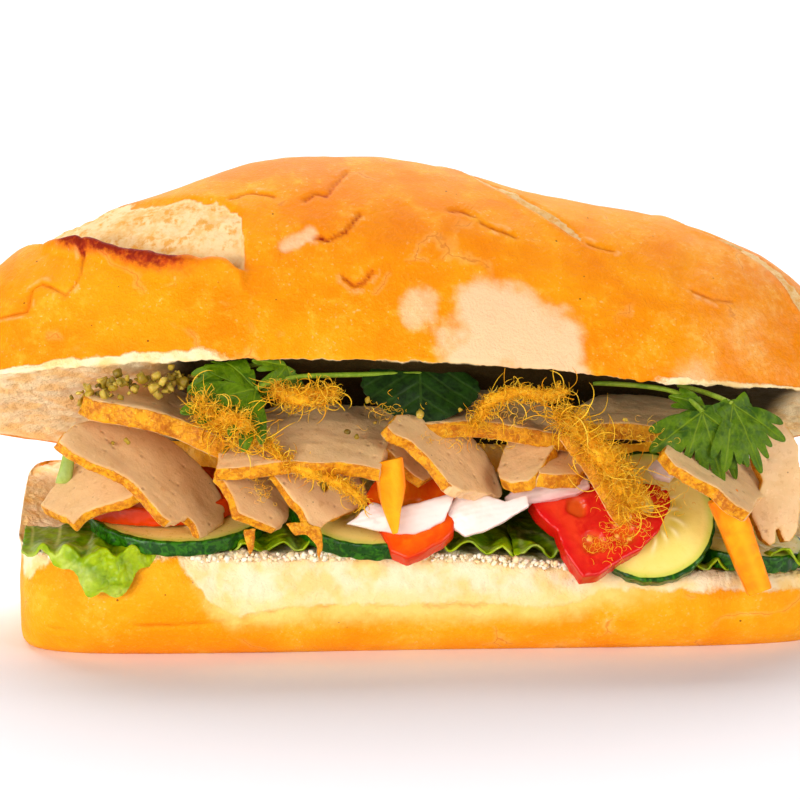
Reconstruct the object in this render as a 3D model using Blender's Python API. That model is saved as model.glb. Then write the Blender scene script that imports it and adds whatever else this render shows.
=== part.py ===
"""Banh mi sandwich, at its real size, as a set of separate closed solids.

A short crusty loaf is split along its front and left joined at the back, so that it opens like a book.
Leaf lettuce lies on the lower half. Cucumber, tomato, onion and carrot lie on the lettuce, slices of fried
pork roll are fanned over them, and pork floss and herbs are tucked in on top.

Frame: X along the loaf, Y from the open front to the joined back, Z up, origin at the middle of the base.
Lengths in the tables below are in millimetres and angles in degrees, and Blender gets metres and radians.
"""

import math
import random

import bmesh
import bpy
from mathutils import Euler, Matrix, Vector

MM = 0.001
CLEARANCE = 0.4 * MM

# The loaf. Both halves share the cut, which the filling holds open along the front.
LOAF_HALF_LENGTH = 101.0
UPPER_HALF_DEPTH = 40.0
UPPER_HEIGHT = 58.0
FRONT_LIP_DROOP = 3.4
UPPER_OPEN_ANGLE = 24.5
UPPER_ROLL = 1.2
HINGE_Y = 34.5
HINGE_Z = 31.0
LOWER_HALF_DEPTH = 38.5
LOWER_LEFT_END = -87.0
LOWER_RIGHT_END = 94.0
LOWER_FRONT_RIM = 21.6
LOWER_RIM_SLOPE = 0.105
LOWER_RIM_DROP_RIGHT = 0.085
LOWER_TIP_RISE = 9.0
FOLD_HALF_LENGTH = 73.0

# Slashes across the top of the loaf: middle, direction, and how far they have burst open.
SLASHES = (
    {"x": -60.0, "y": -7.0, "turn": -43.0, "half_length": 37.0, "half_width": 14.0, "depth": 4.5, "lip": 2.4},
    {"x": 17.5, "y": -3.5, "turn": -47.0, "half_length": 38.0, "half_width": 4.6, "depth": 3.0, "lip": 1.2},
    {"x": 74.0, "y": -8.0, "turn": -37.0, "half_length": 27.0, "half_width": 5.5, "depth": 3.0, "lip": 1.2},
)

COLOURS = {
    "crust": (0.80, 0.42, 0.07),
    "lettuce": (0.30, 0.50, 0.05),
    "cucumber": (0.62, 0.70, 0.30),
    "tomato": (0.70, 0.06, 0.03),
    "onion": (0.88, 0.82, 0.78),
    "carrot": (0.90, 0.33, 0.03),
    "pork_roll": (0.72, 0.50, 0.33),
    "floss": (0.80, 0.42, 0.08),
    "herb": (0.10, 0.28, 0.04),
    "scallion": (0.50, 0.52, 0.18),
}


def clear_scene():
    for thing in list(bpy.data.objects):
        bpy.data.objects.remove(thing)


def make_material(name):
    material = bpy.data.materials.new(name)
    material.use_nodes = True
    shader = material.node_tree.nodes["Principled BSDF"]
    shader.inputs["Base Color"].default_value = (*COLOURS[name], 1.0)
    shader.inputs["Roughness"].default_value = 0.6
    shader.inputs["Metallic"].default_value = 0.0
    return material


def make_object(name, bm, material, at=(0, 0, 0), turn=(0, 0, 0)):
    """The object for a closed mesh in millimetres, at a place in millimetres, turned by degrees about X, Y, Z."""
    bmesh.ops.scale(bm, vec=(MM, MM, MM), verts=bm.verts)
    bmesh.ops.recalc_face_normals(bm, faces=bm.faces)
    mesh = bpy.data.meshes.new(name)
    bm.to_mesh(mesh)
    bm.free()
    mesh.materials.append(material)
    piece = bpy.data.objects.new(name, mesh)
    bpy.context.scene.collection.objects.link(piece)
    piece.location = Vector(at) * MM
    piece.rotation_euler = Euler([math.radians(angle) for angle in turn])
    return piece


def fullness(t, power):
    """How wide a rounded form still is at a share t of the way from its middle to its end."""
    return max(0.0, 1.0 - abs(t) ** power) ** (1.0 / power)


def smooth_step(low, high, value):
    share = min(1.0, max(0.0, (value - low) / (high - low)))
    return share * share * (3.0 - 2.0 * share)


def signed_power(value, power):
    return math.copysign(abs(value) ** power, value)


def end_stations(left, right, count):
    """Places along X from one tip to the other, closer together towards both tips, with the tips left out."""
    middle = (left + right) / 2
    half = (right - left) / 2
    return [middle - half * math.cos(math.pi * (i + 0.35) / (count - 0.3)) for i in range(count)]


def skin_rings(rings, tip_a, tip_b):
    """A closed mesh through rings of points of equal count, drawn together to a point at each end."""
    bm = bmesh.new()
    loops = [[bm.verts.new(point) for point in ring] for ring in rings]
    for one, other in zip(loops, loops[1:]):
        for i in range(len(one)):
            j = (i + 1) % len(one)
            bm.faces.new((one[i], one[j], other[j], other[i]))
    for tip, loop in ((bm.verts.new(tip_a), loops[0]), (bm.verts.new(tip_b), loops[-1])):
        for i in range(len(loop)):
            bm.faces.new((tip, loop[i], loop[(i + 1) % len(loop)]))
    return bm


# ---- The loaf ----

def slash_relief(x, y):
    """How far the crust stands in (negative) or out at a place seen from above, from the slashes and their lips."""
    relief = 0.0
    for cut in SLASHES:
        turn = math.radians(cut["turn"])
        along = (x - cut["x"]) * math.cos(turn) + (y - cut["y"]) * math.sin(turn)
        across = -(x - cut["x"]) * math.sin(turn) + (y - cut["y"]) * math.cos(turn)
        width = cut["half_width"] * fullness(along / cut["half_length"], 2.0)
        if width < 0.5:
            continue
        reach = across / width
        if abs(reach) < 1.0:
            relief -= cut["depth"] * math.cos(reach * math.pi / 2) ** 0.7
        lip = math.exp(-(((across + width + 2.0) / 2.6) ** 2))
        relief += cut["lip"] * lip * min(1.0, width / cut["half_width"] * 1.5)
    return relief


def bell(value, middle, width):
    return math.exp(-(((value - middle) / width) ** 2))


def crown_height(x):
    """Height of the upper half's crown at x: fullest left of the middle, lower to the right and to the far left."""
    hump = UPPER_HEIGHT - 9.2 * smooth_step(-12.0, 45.0, x) - 6.0 * smooth_step(-25.0, -62.0, x)
    return hump * fullness(x / LOAF_HALF_LENGTH, 2.6)


def upper_ring(x):
    """One section of the upper half, about the middle of the cut: over the crown, then back along the cut."""
    crown_points = 20
    cut_points = 4
    droop = FRONT_LIP_DROOP * bell(x, 58.0, 36.0)
    depth = UPPER_HALF_DEPTH * fullness(x / LOAF_HALF_LENGTH, 2.6)
    height = crown_height(x)
    ring = []
    for j in range(crown_points + 1):
        turn = math.pi * j / crown_points
        y = -depth * signed_power(math.cos(turn), 0.92)
        z = height * math.sin(turn) ** 0.9
        relief = slash_relief(x, y) * math.sin(turn) ** 0.5 * fullness(x / LOAF_HALF_LENGTH, 2.0)
        sag = droop * max(0.0, -y / depth) ** 3
        ring.append((x, y + relief * y / (depth + height), z + relief * z / (height + 0.1) - sag))
    for j in range(1, cut_points + 1):
        share = 1.0 - 2.0 * j / (cut_points + 1)
        sag = droop * max(0.0, -share) ** 3
        ring.append((x, depth * share, 0.9 * (1.0 - share * share) * height / UPPER_HEIGHT - sag))
    return ring


def make_upper_half(material):
    stations = end_stations(-LOAF_HALF_LENGTH, LOAF_HALF_LENGTH, 34)
    bm = skin_rings(
        [upper_ring(x) for x in stations],
        (-LOAF_HALF_LENGTH, 0.0, 2.0),
        (LOAF_HALF_LENGTH, 0.0, 2.0),
    )
    bmesh.ops.translate(bm, vec=(0, -UPPER_HALF_DEPTH, 0), verts=bm.verts)
    return make_object(
        "upper_half", bm, material, (0, HINGE_Y, HINGE_Z), (-UPPER_OPEN_ANGLE, UPPER_ROLL, 0)
    )


def lower_rim(x, y):
    """Height of the cut face of the lower half: it rises to the back and at both tips, and drops to the right."""
    slope = LOWER_RIM_SLOPE * (y + LOWER_HALF_DEPTH)
    drop = LOWER_RIM_DROP_RIGHT * max(0.0, x) * (1.0 - smooth_step(-25.0, 34.0, y))
    tips = LOWER_TIP_RISE * smooth_step(-66.0, -90.0, x) * smooth_step(-32.0, 8.0, y)
    return LOWER_FRONT_RIM + slope - drop + tips


def lower_ring(x):
    """One section of the lower half: down the back, along the flat base, up the front, then back over the cut."""
    wall_points = 18
    cut_points = 4
    middle = (LOWER_LEFT_END + LOWER_RIGHT_END) / 2
    share = (x - middle) / ((LOWER_RIGHT_END - LOWER_LEFT_END) / 2)
    depth = LOWER_HALF_DEPTH * fullness(share, 6.0)
    drop = fullness(share, 9.0)
    ring = []
    for j in range(wall_points + 1):
        turn = math.pi * j / wall_points
        y = depth * signed_power(math.cos(turn), 0.32)
        rim = lower_rim(x, y)
        bulge = 1.0 + 0.035 * math.sin(math.pi * math.sin(turn) ** 0.5)
        z = rim - (rim + 2.4) * drop * math.sin(turn) ** 0.6
        ring.append((x, y * bulge, max(0.0, z)))
    for j in range(1, cut_points + 1):
        y = depth * (2.0 * j / (cut_points + 1) - 1.0)
        ring.append((x, y, lower_rim(x, y)))
    return ring


def make_lower_half(material):
    stations = end_stations(LOWER_LEFT_END, LOWER_RIGHT_END, 26)
    bm = skin_rings(
        [lower_ring(x) for x in stations],
        (LOWER_LEFT_END, 0.0, lower_rim(LOWER_LEFT_END, 0.0) - 9.0),
        (LOWER_RIGHT_END, 0.0, lower_rim(LOWER_RIGHT_END, 0.0) - 8.0),
    )
    return make_object("lower_half", bm, material)


def make_fold(material):
    """The strip of crust along the back that still joins the two halves."""
    sides = 12
    rings = []
    for x in end_stations(-FOLD_HALF_LENGTH, FOLD_HALF_LENGTH, 16):
        size = fullness(x / FOLD_HALF_LENGTH, 3.0)
        rings.append(
            [
                (x, HINGE_Y - 1.0 + 5.2 * size * math.cos(turn), HINGE_Z + 0.3 + 7.0 * size * math.sin(turn))
                for turn in (2 * math.pi * k / sides for k in range(sides))
            ]
        )
    tips = [(side * FOLD_HALF_LENGTH, HINGE_Y - 1.0, HINGE_Z + 0.3) for side in (-1, 1)]
    return make_object("back_fold", skin_rings(rings, *tips), material)


def evaluated_mesh(piece):
    graph = bpy.context.evaluated_depsgraph_get()
    return bpy.data.meshes.new_from_object(piece.evaluated_get(graph))


def apply_modifiers(piece):
    mesh = evaluated_mesh(piece)
    piece.modifiers.clear()
    piece.data = mesh


# ---- Keeping the pieces of filling clear of each other ----

def grown_copy(piece):
    """A hidden copy of a piece, its surface moved out by the clearance, for cutting its neighbours."""
    bm = bmesh.new()
    bm.from_mesh(piece.data)
    bmesh.ops.remove_doubles(bm, verts=bm.verts, dist=0.01 * MM)
    bm.normal_update()
    moves = [vert.normal * min(vert.calc_shell_factor(), 2.0) * CLEARANCE for vert in bm.verts]
    for vert, move in zip(bm.verts, moves):
        vert.co += move
    mesh = bpy.data.meshes.new(piece.name + "_cutter")
    bm.to_mesh(mesh)
    bm.free()
    cutter = bpy.data.objects.new(piece.name + "_cutter", mesh)
    bpy.context.scene.collection.objects.link(cutter)
    cutter.location = piece.location
    cutter.rotation_euler = piece.rotation_euler
    cutter.hide_render = True
    cutter.display_type = "WIRE"
    return cutter


def box_of(piece):
    corners = [piece.matrix_world @ Vector(corner) for corner in piece.bound_box]
    low = [min(corner[i] for corner in corners) for i in range(3)]
    high = [max(corner[i] for corner in corners) for i in range(3)]
    return low, high


def boxes_meet(one, other):
    (low_a, high_a), (low_b, high_b) = box_of(one), box_of(other)
    gap = 2 * CLEARANCE
    return all(low_a[i] < high_b[i] + gap and low_b[i] < high_a[i] + gap for i in range(3))


def keep_largest_island(piece):
    """Drops the scraps that trimming leaves, so that the piece is one body."""
    bm = bmesh.new()
    bm.from_mesh(piece.data)
    bmesh.ops.remove_doubles(bm, verts=bm.verts, dist=0.004 * MM)
    bmesh.ops.dissolve_degenerate(bm, edges=bm.edges, dist=0.004 * MM)
    bmesh.ops.triangulate(bm, faces=bm.faces)
    waiting = set(bm.faces)
    islands = []
    while waiting:
        island = {waiting.pop()}
        edge_of_search = list(island)
        while edge_of_search:
            face = edge_of_search.pop()
            for edge in face.edges:
                for near in edge.link_faces:
                    if near in waiting:
                        waiting.discard(near)
                        island.add(near)
                        edge_of_search.append(near)
        islands.append(island)
    islands.sort(key=lambda faces: sum(face.calc_area() for face in faces))
    scraps = [face for island in islands[:-1] for face in island]
    bmesh.ops.delete(bm, geom=scraps, context="FACES")
    bm.to_mesh(piece.data)
    bm.free()


def make_bread():
    """Both halves and the fold behind them, joined into one piece, and the cutters that keep it clear."""
    crust = make_material("crust")
    bread = make_lower_half(crust)
    bread.name = "bread"
    parts = [make_upper_half(crust), make_fold(crust)]
    cutters = [grown_copy(part) for part in [bread] + parts]
    for part in parts:
        union = bread.modifiers.new("join", "BOOLEAN")
        union.operation = "UNION"
        union.object = part
    bpy.context.view_layer.update()
    apply_modifiers(bread)
    for part in parts:
        bpy.data.objects.remove(part)
    return cutters


class Filling:
    """The pieces laid in so far. Each new one is trimmed where the bread and those before it already are."""

    def __init__(self, bread_cutters):
        self.cutters = list(bread_cutters)

    def lay(self, piece):
        bpy.context.view_layer.update()
        own_cutter = grown_copy(piece)
        near = [cutter for cutter in self.cutters if boxes_meet(piece, cutter)]
        for cutter in near:
            trim = piece.modifiers.new("trim", "BOOLEAN")
            trim.operation = "DIFFERENCE"
            trim.object = cutter
        if near:
            apply_modifiers(piece)
            keep_largest_island(piece)
        self.cutters.append(own_cutter)


# ---- Shapes of the filling ----

def plate(outline, thickness, edge_round, lift=lambda x, y: 0.0):
    """A slice cut flat: its outline in X and Y, rounded at both rims, with its faces lifted by a height at x, y."""
    middle_x = sum(point[0] for point in outline) / len(outline)
    middle_y = sum(point[1] for point in outline) / len(outline)
    reach = max(math.hypot(x - middle_x, y - middle_y) for x, y in outline)
    inset = 1.0 - edge_round / reach
    levels = (
        (-thickness / 2, inset),
        (-thickness / 2 + edge_round, 1.0),
        (thickness / 2 - edge_round, 1.0),
        (thickness / 2, inset),
    )
    bm = bmesh.new()
    loops = []
    for height, size in levels:
        loop = []
        for x, y in outline:
            px = middle_x + (x - middle_x) * size
            py = middle_y + (y - middle_y) * size
            loop.append(bm.verts.new((px, py, height + lift(px, py))))
        loops.append(loop)
    for one, other in zip(loops, loops[1:]):
        for i in range(len(one)):
            j = (i + 1) % len(one)
            bm.faces.new((one[i], one[j], other[j], other[i]))
    for loop, height in ((loops[0], -thickness / 2), (loops[-1], thickness / 2)):
        hub = bm.verts.new((middle_x, middle_y, height + lift(middle_x, middle_y)))
        for i in range(len(loop)):
            bm.faces.new((hub, loop[i], loop[(i + 1) % len(loop)]))
    return bm


def slice_outline(length, width, power, rough, seed, points=20):
    """A rounded block in plan, its front edge along y = 0, with the uneven edge that a knife leaves in soft food."""
    shuffle = random.Random(seed)
    waves = [(k, shuffle.uniform(-1, 1) * rough / k ** 0.5, shuffle.uniform(0, 2 * math.pi)) for k in (2, 3, 5)]
    outline = []
    for i in range(points):
        turn = 2 * math.pi * i / points
        wobble = 1.0 + sum(size * math.sin(k * turn + phase) for k, size, phase in waves)
        x = length / 2 * wobble * signed_power(math.cos(turn), 2 / power)
        y = width / 2 * wobble * signed_power(math.sin(turn), 2 / power) + width / 2
        outline.append((x, y))
    return outline


def round_outline(radius, rough, seed, points=24):
    return [
        (x, y - radius)
        for x, y in slice_outline(2 * radius, 2 * radius, 2.0, rough, seed, points)
    ]


def band_outline(length, width, bow, taper):
    """A curved strip, as a petal of onion is: its middle line bows by a height, and its ends taper."""
    steps = 9
    lower, upper = [], []
    for i in range(steps):
        share = 2.0 * i / (steps - 1) - 1.0
        half = width / 2 * (1.0 - taper * share * share)
        middle = bow * (1.0 - share * share)
        lower.append((length / 2 * share, middle - half))
        upper.append((length / 2 * share, middle + half))
    return lower + upper[::-1]


def stick(length, width, depth, point_share):
    """A cut stick standing on a tapered lower end, its long edges eased."""
    ease = 0.22
    section = []
    for sx, sy in ((-1, -1), (1, -1), (1, 1), (-1, 1)):
        first, second = ((sx * (1 - ease), sy), (sx, sy * (1 - ease)))
        section += [first, second] if sx * sy < 0 else [second, first]
    levels = ((0.0, point_share * 0.45), (0.12, point_share), (0.45, 0.92), (0.8, 1.0), (1.0, 0.93))
    rings = []
    for share, size in levels:
        rings.append([(width / 2 * size * a, depth / 2 * (0.5 + size / 2) * b, length * share) for a, b in section])
    return skin_rings(rings, (0, 0, -0.3), (0, 0, length + 0.3))


def tuft(route, thickness, seed, sides=7):
    """A lumpy tuft along a route of points, closed at both ends."""
    shuffle = random.Random(seed)
    points = [Vector(point) for point in route]
    dense = []
    for i in range(len(points) - 1):
        before = points[max(0, i - 1)]
        after = points[min(len(points) - 1, i + 2)]
        for step in range(3):
            t = step / 3
            a, b = points[i], points[i + 1]
            dense.append(
                0.5 * (2 * a + (b - before) * t + (2 * before - 5 * a + 4 * b - after) * t * t
                       + (3 * a - before - 3 * b + after) * t ** 3)
            )
    dense.append(points[-1])
    rings = []
    for i, middle in enumerate(dense):
        ahead = dense[min(i + 1, len(dense) - 1)] - dense[max(i - 1, 0)]
        side = ahead.cross(Vector((0.1, 1.0, 0.2))).normalized()
        over = side.cross(ahead).normalized()
        end_fade = 0.35 + 0.65 * fullness(2.0 * i / (len(dense) - 1) - 1.0, 3.0)
        ring = []
        for k in range(sides):
            turn = 2 * math.pi * k / sides
            reach = thickness / 2 * end_fade * shuffle.uniform(0.85, 1.12)
            ring.append(middle + (side * math.cos(turn) + over * math.sin(turn)) * reach)
        rings.append(ring)
    tip_a = dense[0] + (dense[0] - dense[1]).normalized() * thickness * 0.15
    tip_b = dense[-1] + (dense[-1] - dense[-2]).normalized() * thickness * 0.15
    return skin_rings(rings, tip_a, tip_b)


def leaf_outline(length, width, lobes, tooth, points=29):
    """A herb leaf, its stalk end at the origin and its blade along -Y, cut into lobes with toothed rims."""
    outline = []
    for i in range(points):
        share = i / (points - 1)
        turn = math.radians(-152 + 304 * share)
        lobe = 0.74 + 0.26 * abs(math.cos(turn * lobes / 2)) ** 0.8
        notch = 1.0 - tooth * (0.5 - 0.5 * math.cos(turn * lobes * 3))
        reach = lobe * notch
        outline.append((width / 2 * reach * math.sin(turn), -length * 0.46 - length * 0.54 * reach * math.cos(turn)))
    return outline


def sheet(columns, rows, place, thickness):
    """A closed sheet: place(u, v) gives its middle surface over the unit square, and it has one thickness."""
    bm = bmesh.new()
    faces = []
    for side in (1, -1):
        grid = []
        for i in range(columns + 1):
            line = []
            for j in range(rows + 1):
                x, y, z = place(i / columns, j / rows)
                line.append(bm.verts.new((x, y, z + side * thickness / 2)))
            grid.append(line)
        faces.append(grid)
    top, under = faces
    for i in range(columns):
        for j in range(rows):
            for grid in faces:
                bm.faces.new((grid[i][j], grid[i + 1][j], grid[i + 1][j + 1], grid[i][j + 1]))
    rim = [(i, 0) for i in range(columns)] + [(columns, j) for j in range(rows)]
    rim += [(i, rows) for i in range(columns, 0, -1)] + [(0, j) for j in range(rows, 0, -1)]
    for (i, j), (k, m) in zip(rim, rim[1:] + rim[:1]):
        bm.faces.new((top[i][j], top[k][m], under[k][m], under[i][j]))
    return bm


# ---- The filling, from the lettuce up ----

# Name, left and right ends, middle of the flap over the front rim, how far it stands out and hangs, ripple's phase.
LETTUCE_LEAVES = (
    ("lettuce_left", -81.0, -43.0, -64.0, 3.4, 9.5, 0.4),
    ("lettuce_middle", -42.0, 22.0, 10.0, 0.5, 0.0, 2.1),
    ("lettuce_right", 23.0, 84.0, 78.0, 0.5, 0.0, 4.0),
)

# Name, middle, turn, radius, thickness.
CUCUMBER_SLICES = (
    ("cucumber_left", (-49.5, -22.5, 26.6), (2.5, 1.0, 0), 19.2, 4.0),
    ("cucumber_middle", (-9.0, -27.0, 29.0), (18.0, 4.0, 0), 16.5, 3.8),
    ("cucumber_right", (51.0, -33.5, 28.6), (62.0, 0.0, 0), 14.6, 3.8),
    ("cucumber_far_right", (73.5, -25.5, 20.8), (9.0, 5.0, 0), 13.5, 3.8),
)

# Name, middle, turn, radius, thickness, how uneven.
TOMATO_SLICES = (
    ("tomato_left", (-54.5, -17.5, 31.4), (2.5, 1.0, 0), 19.5, 4.4, 0.02),
    ("tomato_middle", (-1.0, -36.0, 31.0), (50.0, -6.0, 0), 11.5, 4.2, 0.05),
    ("tomato_behind", (4.0, -22.0, 36.0), (60.0, 4.0, 0), 10.0, 4.0, 0.04),
    ("tomato_right", (37.0, -36.6, 27.6), (54.0, 10.0, 0), 13.2, 4.6, 0.07),
)

# Name, middle, turn, length, width, bow, taper, thickness.
ONION_PIECES = (
    ("onion_left", (-4.5, -40.2, 30.8), (66.0, -12.0, 0), 23.0, 8.4, 1.0, 0.35, 2.6),
    ("onion_middle", (13.0, -39.8, 30.6), (64.0, -11.0, 0), 19.0, 9.6, -0.8, 0.4, 2.8),
    ("onion_right", (28.6, -35.5, 34.8), (58.0, -13.0, 0), 20.0, 5.4, 0.8, 0.3, 3.0),
    ("onion_far_right", (55.5, -31.5, 37.8), (52.0, -20.0, 0), 8.5, 5.0, 0.3, 0.4, 2.4),
)

# Name, lower end, turn, length, width, depth, point.
CARROT_STICKS = (
    ("carrot_middle", (-4.2, -44.2, 28.2), (-7.0, -4.0, 0), 20.0, 6.2, 3.6, 0.3),
    ("carrot_right", (73.6, -43.2, 14.4), (-6.0, -21.0, 0), 27.0, 6.8, 5.2, 0.75),
    ("carrot_behind", (13.5, -33.0, 31.0), (-10.0, -38.0, 0), 12.0, 5.0, 4.0, 0.7),
)

# Name, middle of the front edge, turn (back up, right end down, sideways), length, width, thickness, roundness.
PORK_SLICES = (
    ("pork_01", (-65.5, -37.5, 33.8), (24, -22, 0), 21.0, 18.0, 4.4, 3.0),
    ("pork_02", (-60.5, -41.0, 39.4), (27, 38, 0), 33.0, 19.0, 4.6, 3.4),
    ("pork_03", (-50.0, -38.5, 50.2), (7, 20, 0), 39.0, 20.0, 5.0, 4.0),
    ("pork_04", (-36.8, -41.0, 34.6), (30, 40, 0), 19.0, 16.0, 4.2, 2.8),
    ("pork_05", (-22.0, -40.0, 44.6), (25, 1, 0), 38.0, 20.0, 4.4, 4.4),
    ("pork_06", (-25.6, -42.0, 33.6), (44, 44, 0), 19.0, 17.0, 4.2, 2.8),
    ("pork_07", (0.5, -34.0, 41.0), (22, 36, 0), 14.0, 14.0, 4.0, 2.6),
    ("pork_08", (4.2, -41.2, 42.4), (27, 40, 0), 23.5, 18.0, 4.8, 3.0),
    ("pork_09", (15.5, -35.5, 48.4), (9, 3, 0), 38.0, 22.0, 4.6, 3.6),
    ("pork_10", (24.4, -36.5, 40.6), (24, -20, 0), 13.0, 14.0, 4.2, 2.6),
    ("pork_11", (33.0, -35.5, 40.0), (18, 10, 0), 12.0, 14.0, 4.0, 2.6),
    ("pork_12", (38.6, -41.0, 38.8), (12, 55, 0), 23.0, 12.0, 5.0, 3.0),
    ("pork_13", (50.5, -34.0, 47.6), (9, 4, 0), 33.0, 20.0, 4.6, 3.6),
    ("pork_14", (64.0, -39.6, 38.6), (20, 34, 0), 25.0, 14.0, 4.6, 3.0),
    ("pork_15", (78.2, -36.6, 23.0), (74, 4, 8), 13.0, 26.0, 4.8, 2.6),
)

# Name, route, thickness.
FLOSS_TUFTS = (
    ("floss_left", ((-45, -40.5, 55.5), (-41, -42.5, 52.5), (-36.5, -43.5, 52), (-33, -44, 48)), 6.0),
    ("floss_strand", ((-31, -44, 48.5), (-28, -44.5, 43.8), (-20, -45, 41.5), (-14, -46, 38), (-9, -45.5, 35.5)), 3.2),
    ("floss_upper", ((-29, -36.5, 58.6), (-25.5, -38, 56.6), (-20, -38, 56.8), (-16, -37, 57.8)), 4.6),
    ("floss_middle", ((14, -38.5, 52), (18, -38.5, 57), (23, -38, 57.5), (29, -37, 58.5), (34, -38, 57)), 6.5),
    ("floss_right", ((32, -38, 53), (38, -41, 49), (42, -44, 44), (44.5, -45, 38), (48, -45, 34)), 8.0),
)

# Name, stalk end, turn, length, width, lobes, tooth.
HERB_LEAVES = (
    ("cilantro_left", (-34.0, -38.5, 61.5), (66, 62, 0), 20.0, 15.0, 3, 0.20),
    ("leaf_middle", (2.0, -29.0, 62.5), (50, 4, 5), 14.0, 24.0, 1, 0.03),
    ("cilantro_right", (67.0, -39.5, 58.0), (70, 4, 4), 22.0, 25.0, 3, 0.22),
    ("cilantro_far_right", (78.0, -38.0, 56.5), (74, -24, 14), 18.0, 17.0, 3, 0.22),
)


def lay_lettuce(filling, material):
    for name, left, right, flap, stand_out, drop, phase in LETTUCE_LEAVES:

        def place(u, v, left=left, right=right, flap=flap, stand_out=stand_out, drop=drop, phase=phase):
            x = left + (right - left) * u
            over = bell(x, flap, 9.0)
            front = -LOWER_HALF_DEPTH + 0.6 - stand_out * over - 0.5 * math.sin(x * 0.55 + phase)
            bend = 0.286 * min(1.0, drop)
            run = max(0.0, v - bend) / (1.0 - bend)
            hung = max(0.0, bend - v) / 0.286
            y = front + (12.0 - front) * run - 0.4 * hung
            ripple = math.sin(x * 0.42 + phase) * (1 - v)
            rest = lower_rim(x, max(y, -LOWER_HALF_DEPTH)) + 2.0
            return (x, y, rest + 0.6 * abs(ripple) - drop * over * hung - 0.5 * hung)

        bm = sheet(12, 7, place, 1.8)
        filling.lay(make_object(name, bm, material))


def lay_plates(filling):
    cucumber = make_material("cucumber")
    tomato = make_material("tomato")
    onion = make_material("onion")
    pork = make_material("pork_roll")
    carrot = make_material("carrot")
    for name, at, turn, length, width, depth, point in CARROT_STICKS:
        filling.lay(make_object(name, stick(length, width, depth, point), carrot, at, turn))
    for name, at, turn, length, width, bow, taper, thickness in ONION_PIECES:
        bm = plate(band_outline(length, width, bow, taper), thickness, 0.5)
        filling.lay(make_object(name, bm, onion, at, turn))
    for number, (name, at, turn, length, width, thickness, power) in enumerate(PORK_SLICES):
        outline = slice_outline(length, width, power, 0.035, 40 + number)
        bm = plate(outline, thickness, 0.9, lambda x, y: -x * x / 160.0)
        filling.lay(make_object(name, bm, pork, at, turn))
    for number, (name, at, turn, radius, thickness, rough) in enumerate(TOMATO_SLICES):
        bm = plate(round_outline(radius, rough, 20 + number), thickness, 0.8)
        filling.lay(make_object(name, bm, tomato, at, turn))
    for number, (name, at, turn, radius, thickness) in enumerate(CUCUMBER_SLICES):
        bm = plate(round_outline(radius, 0.012, number), thickness, 0.5)
        filling.lay(make_object(name, bm, cucumber, at, turn))


def lay_toppings(filling):
    floss = make_material("floss")
    herb = make_material("herb")
    for name, at, turn, length, width, lobes, tooth in HERB_LEAVES:
        outline = leaf_outline(length, width, lobes, tooth)
        bm = plate(outline, 1.2, 0.25, lambda x, y: -x * x / 60.0)
        filling.lay(make_object(name, bm, herb, at, turn))
    for number, (name, route, thickness) in enumerate(FLOSS_TUFTS):
        filling.lay(make_object(name, tuft(route, thickness, 70 + number), floss))
    scallion = make_material("scallion")
    mince = tuft(((-70, -27, 53), (-64, -27, 55.5), (-57, -27, 56), (-50, -26, 56)), 7.0, 90)
    filling.lay(make_object("scallion_mince", mince, scallion))


def centre_on_base():
    """Moves everything so that the whole sandwich stands on z = 0 with the middle of its box over the origin."""
    bpy.context.view_layer.update()
    pieces = [piece for piece in bpy.data.objects if not piece.hide_render]
    boxes = [box_of(piece) for piece in pieces]
    low = [min(box[0][i] for box in boxes) for i in range(3)]
    high = [max(box[1][i] for box in boxes) for i in range(3)]
    shift = Vector(((low[0] + high[0]) / 2, (low[1] + high[1]) / 2, low[2]))
    for thing in bpy.data.objects:
        thing.location -= shift


def main():
    clear_scene()
    filling = Filling(make_bread())
    lay_plates(filling)
    lay_lettuce(filling, make_material("lettuce"))
    lay_toppings(filling)
    centre_on_base()


main()
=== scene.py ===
import math

import bpy
import numpy as np
from mathutils import Euler, Matrix, Vector


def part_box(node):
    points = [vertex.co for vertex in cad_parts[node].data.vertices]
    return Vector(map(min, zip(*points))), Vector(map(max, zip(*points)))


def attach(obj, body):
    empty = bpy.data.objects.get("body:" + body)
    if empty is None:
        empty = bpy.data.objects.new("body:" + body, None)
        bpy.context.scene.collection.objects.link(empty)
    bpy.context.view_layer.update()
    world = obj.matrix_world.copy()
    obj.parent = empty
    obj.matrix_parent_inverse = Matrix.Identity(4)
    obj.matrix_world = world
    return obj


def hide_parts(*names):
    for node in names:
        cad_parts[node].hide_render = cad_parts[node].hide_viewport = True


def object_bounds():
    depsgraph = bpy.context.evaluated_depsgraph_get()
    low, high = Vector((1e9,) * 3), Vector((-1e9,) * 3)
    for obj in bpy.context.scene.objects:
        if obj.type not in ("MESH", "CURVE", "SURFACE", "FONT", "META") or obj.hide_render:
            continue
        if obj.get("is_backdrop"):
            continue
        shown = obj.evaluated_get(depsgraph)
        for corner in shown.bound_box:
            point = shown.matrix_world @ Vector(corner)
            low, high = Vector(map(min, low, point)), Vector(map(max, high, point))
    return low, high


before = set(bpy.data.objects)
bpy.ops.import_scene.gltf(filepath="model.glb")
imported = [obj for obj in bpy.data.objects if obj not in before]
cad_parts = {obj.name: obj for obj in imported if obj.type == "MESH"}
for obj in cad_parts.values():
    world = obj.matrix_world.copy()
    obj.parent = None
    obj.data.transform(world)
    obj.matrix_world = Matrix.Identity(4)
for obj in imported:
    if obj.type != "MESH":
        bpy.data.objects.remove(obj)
cad_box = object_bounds()
bpy.ops.object.select_all(action="DESELECT")


# ---------------------------------------------------------------------------------------------------------
# The lower half of the loaf. A wheat loaf with a thin crackled crust, baked on a flat deck, cut through with
# a bread knife and left joined at the back. Its cut face is white open crumb, which tears to a crumbly edge
# at the front and there runs down over the side, where the loaf was pale from touching its neighbour.

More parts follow.
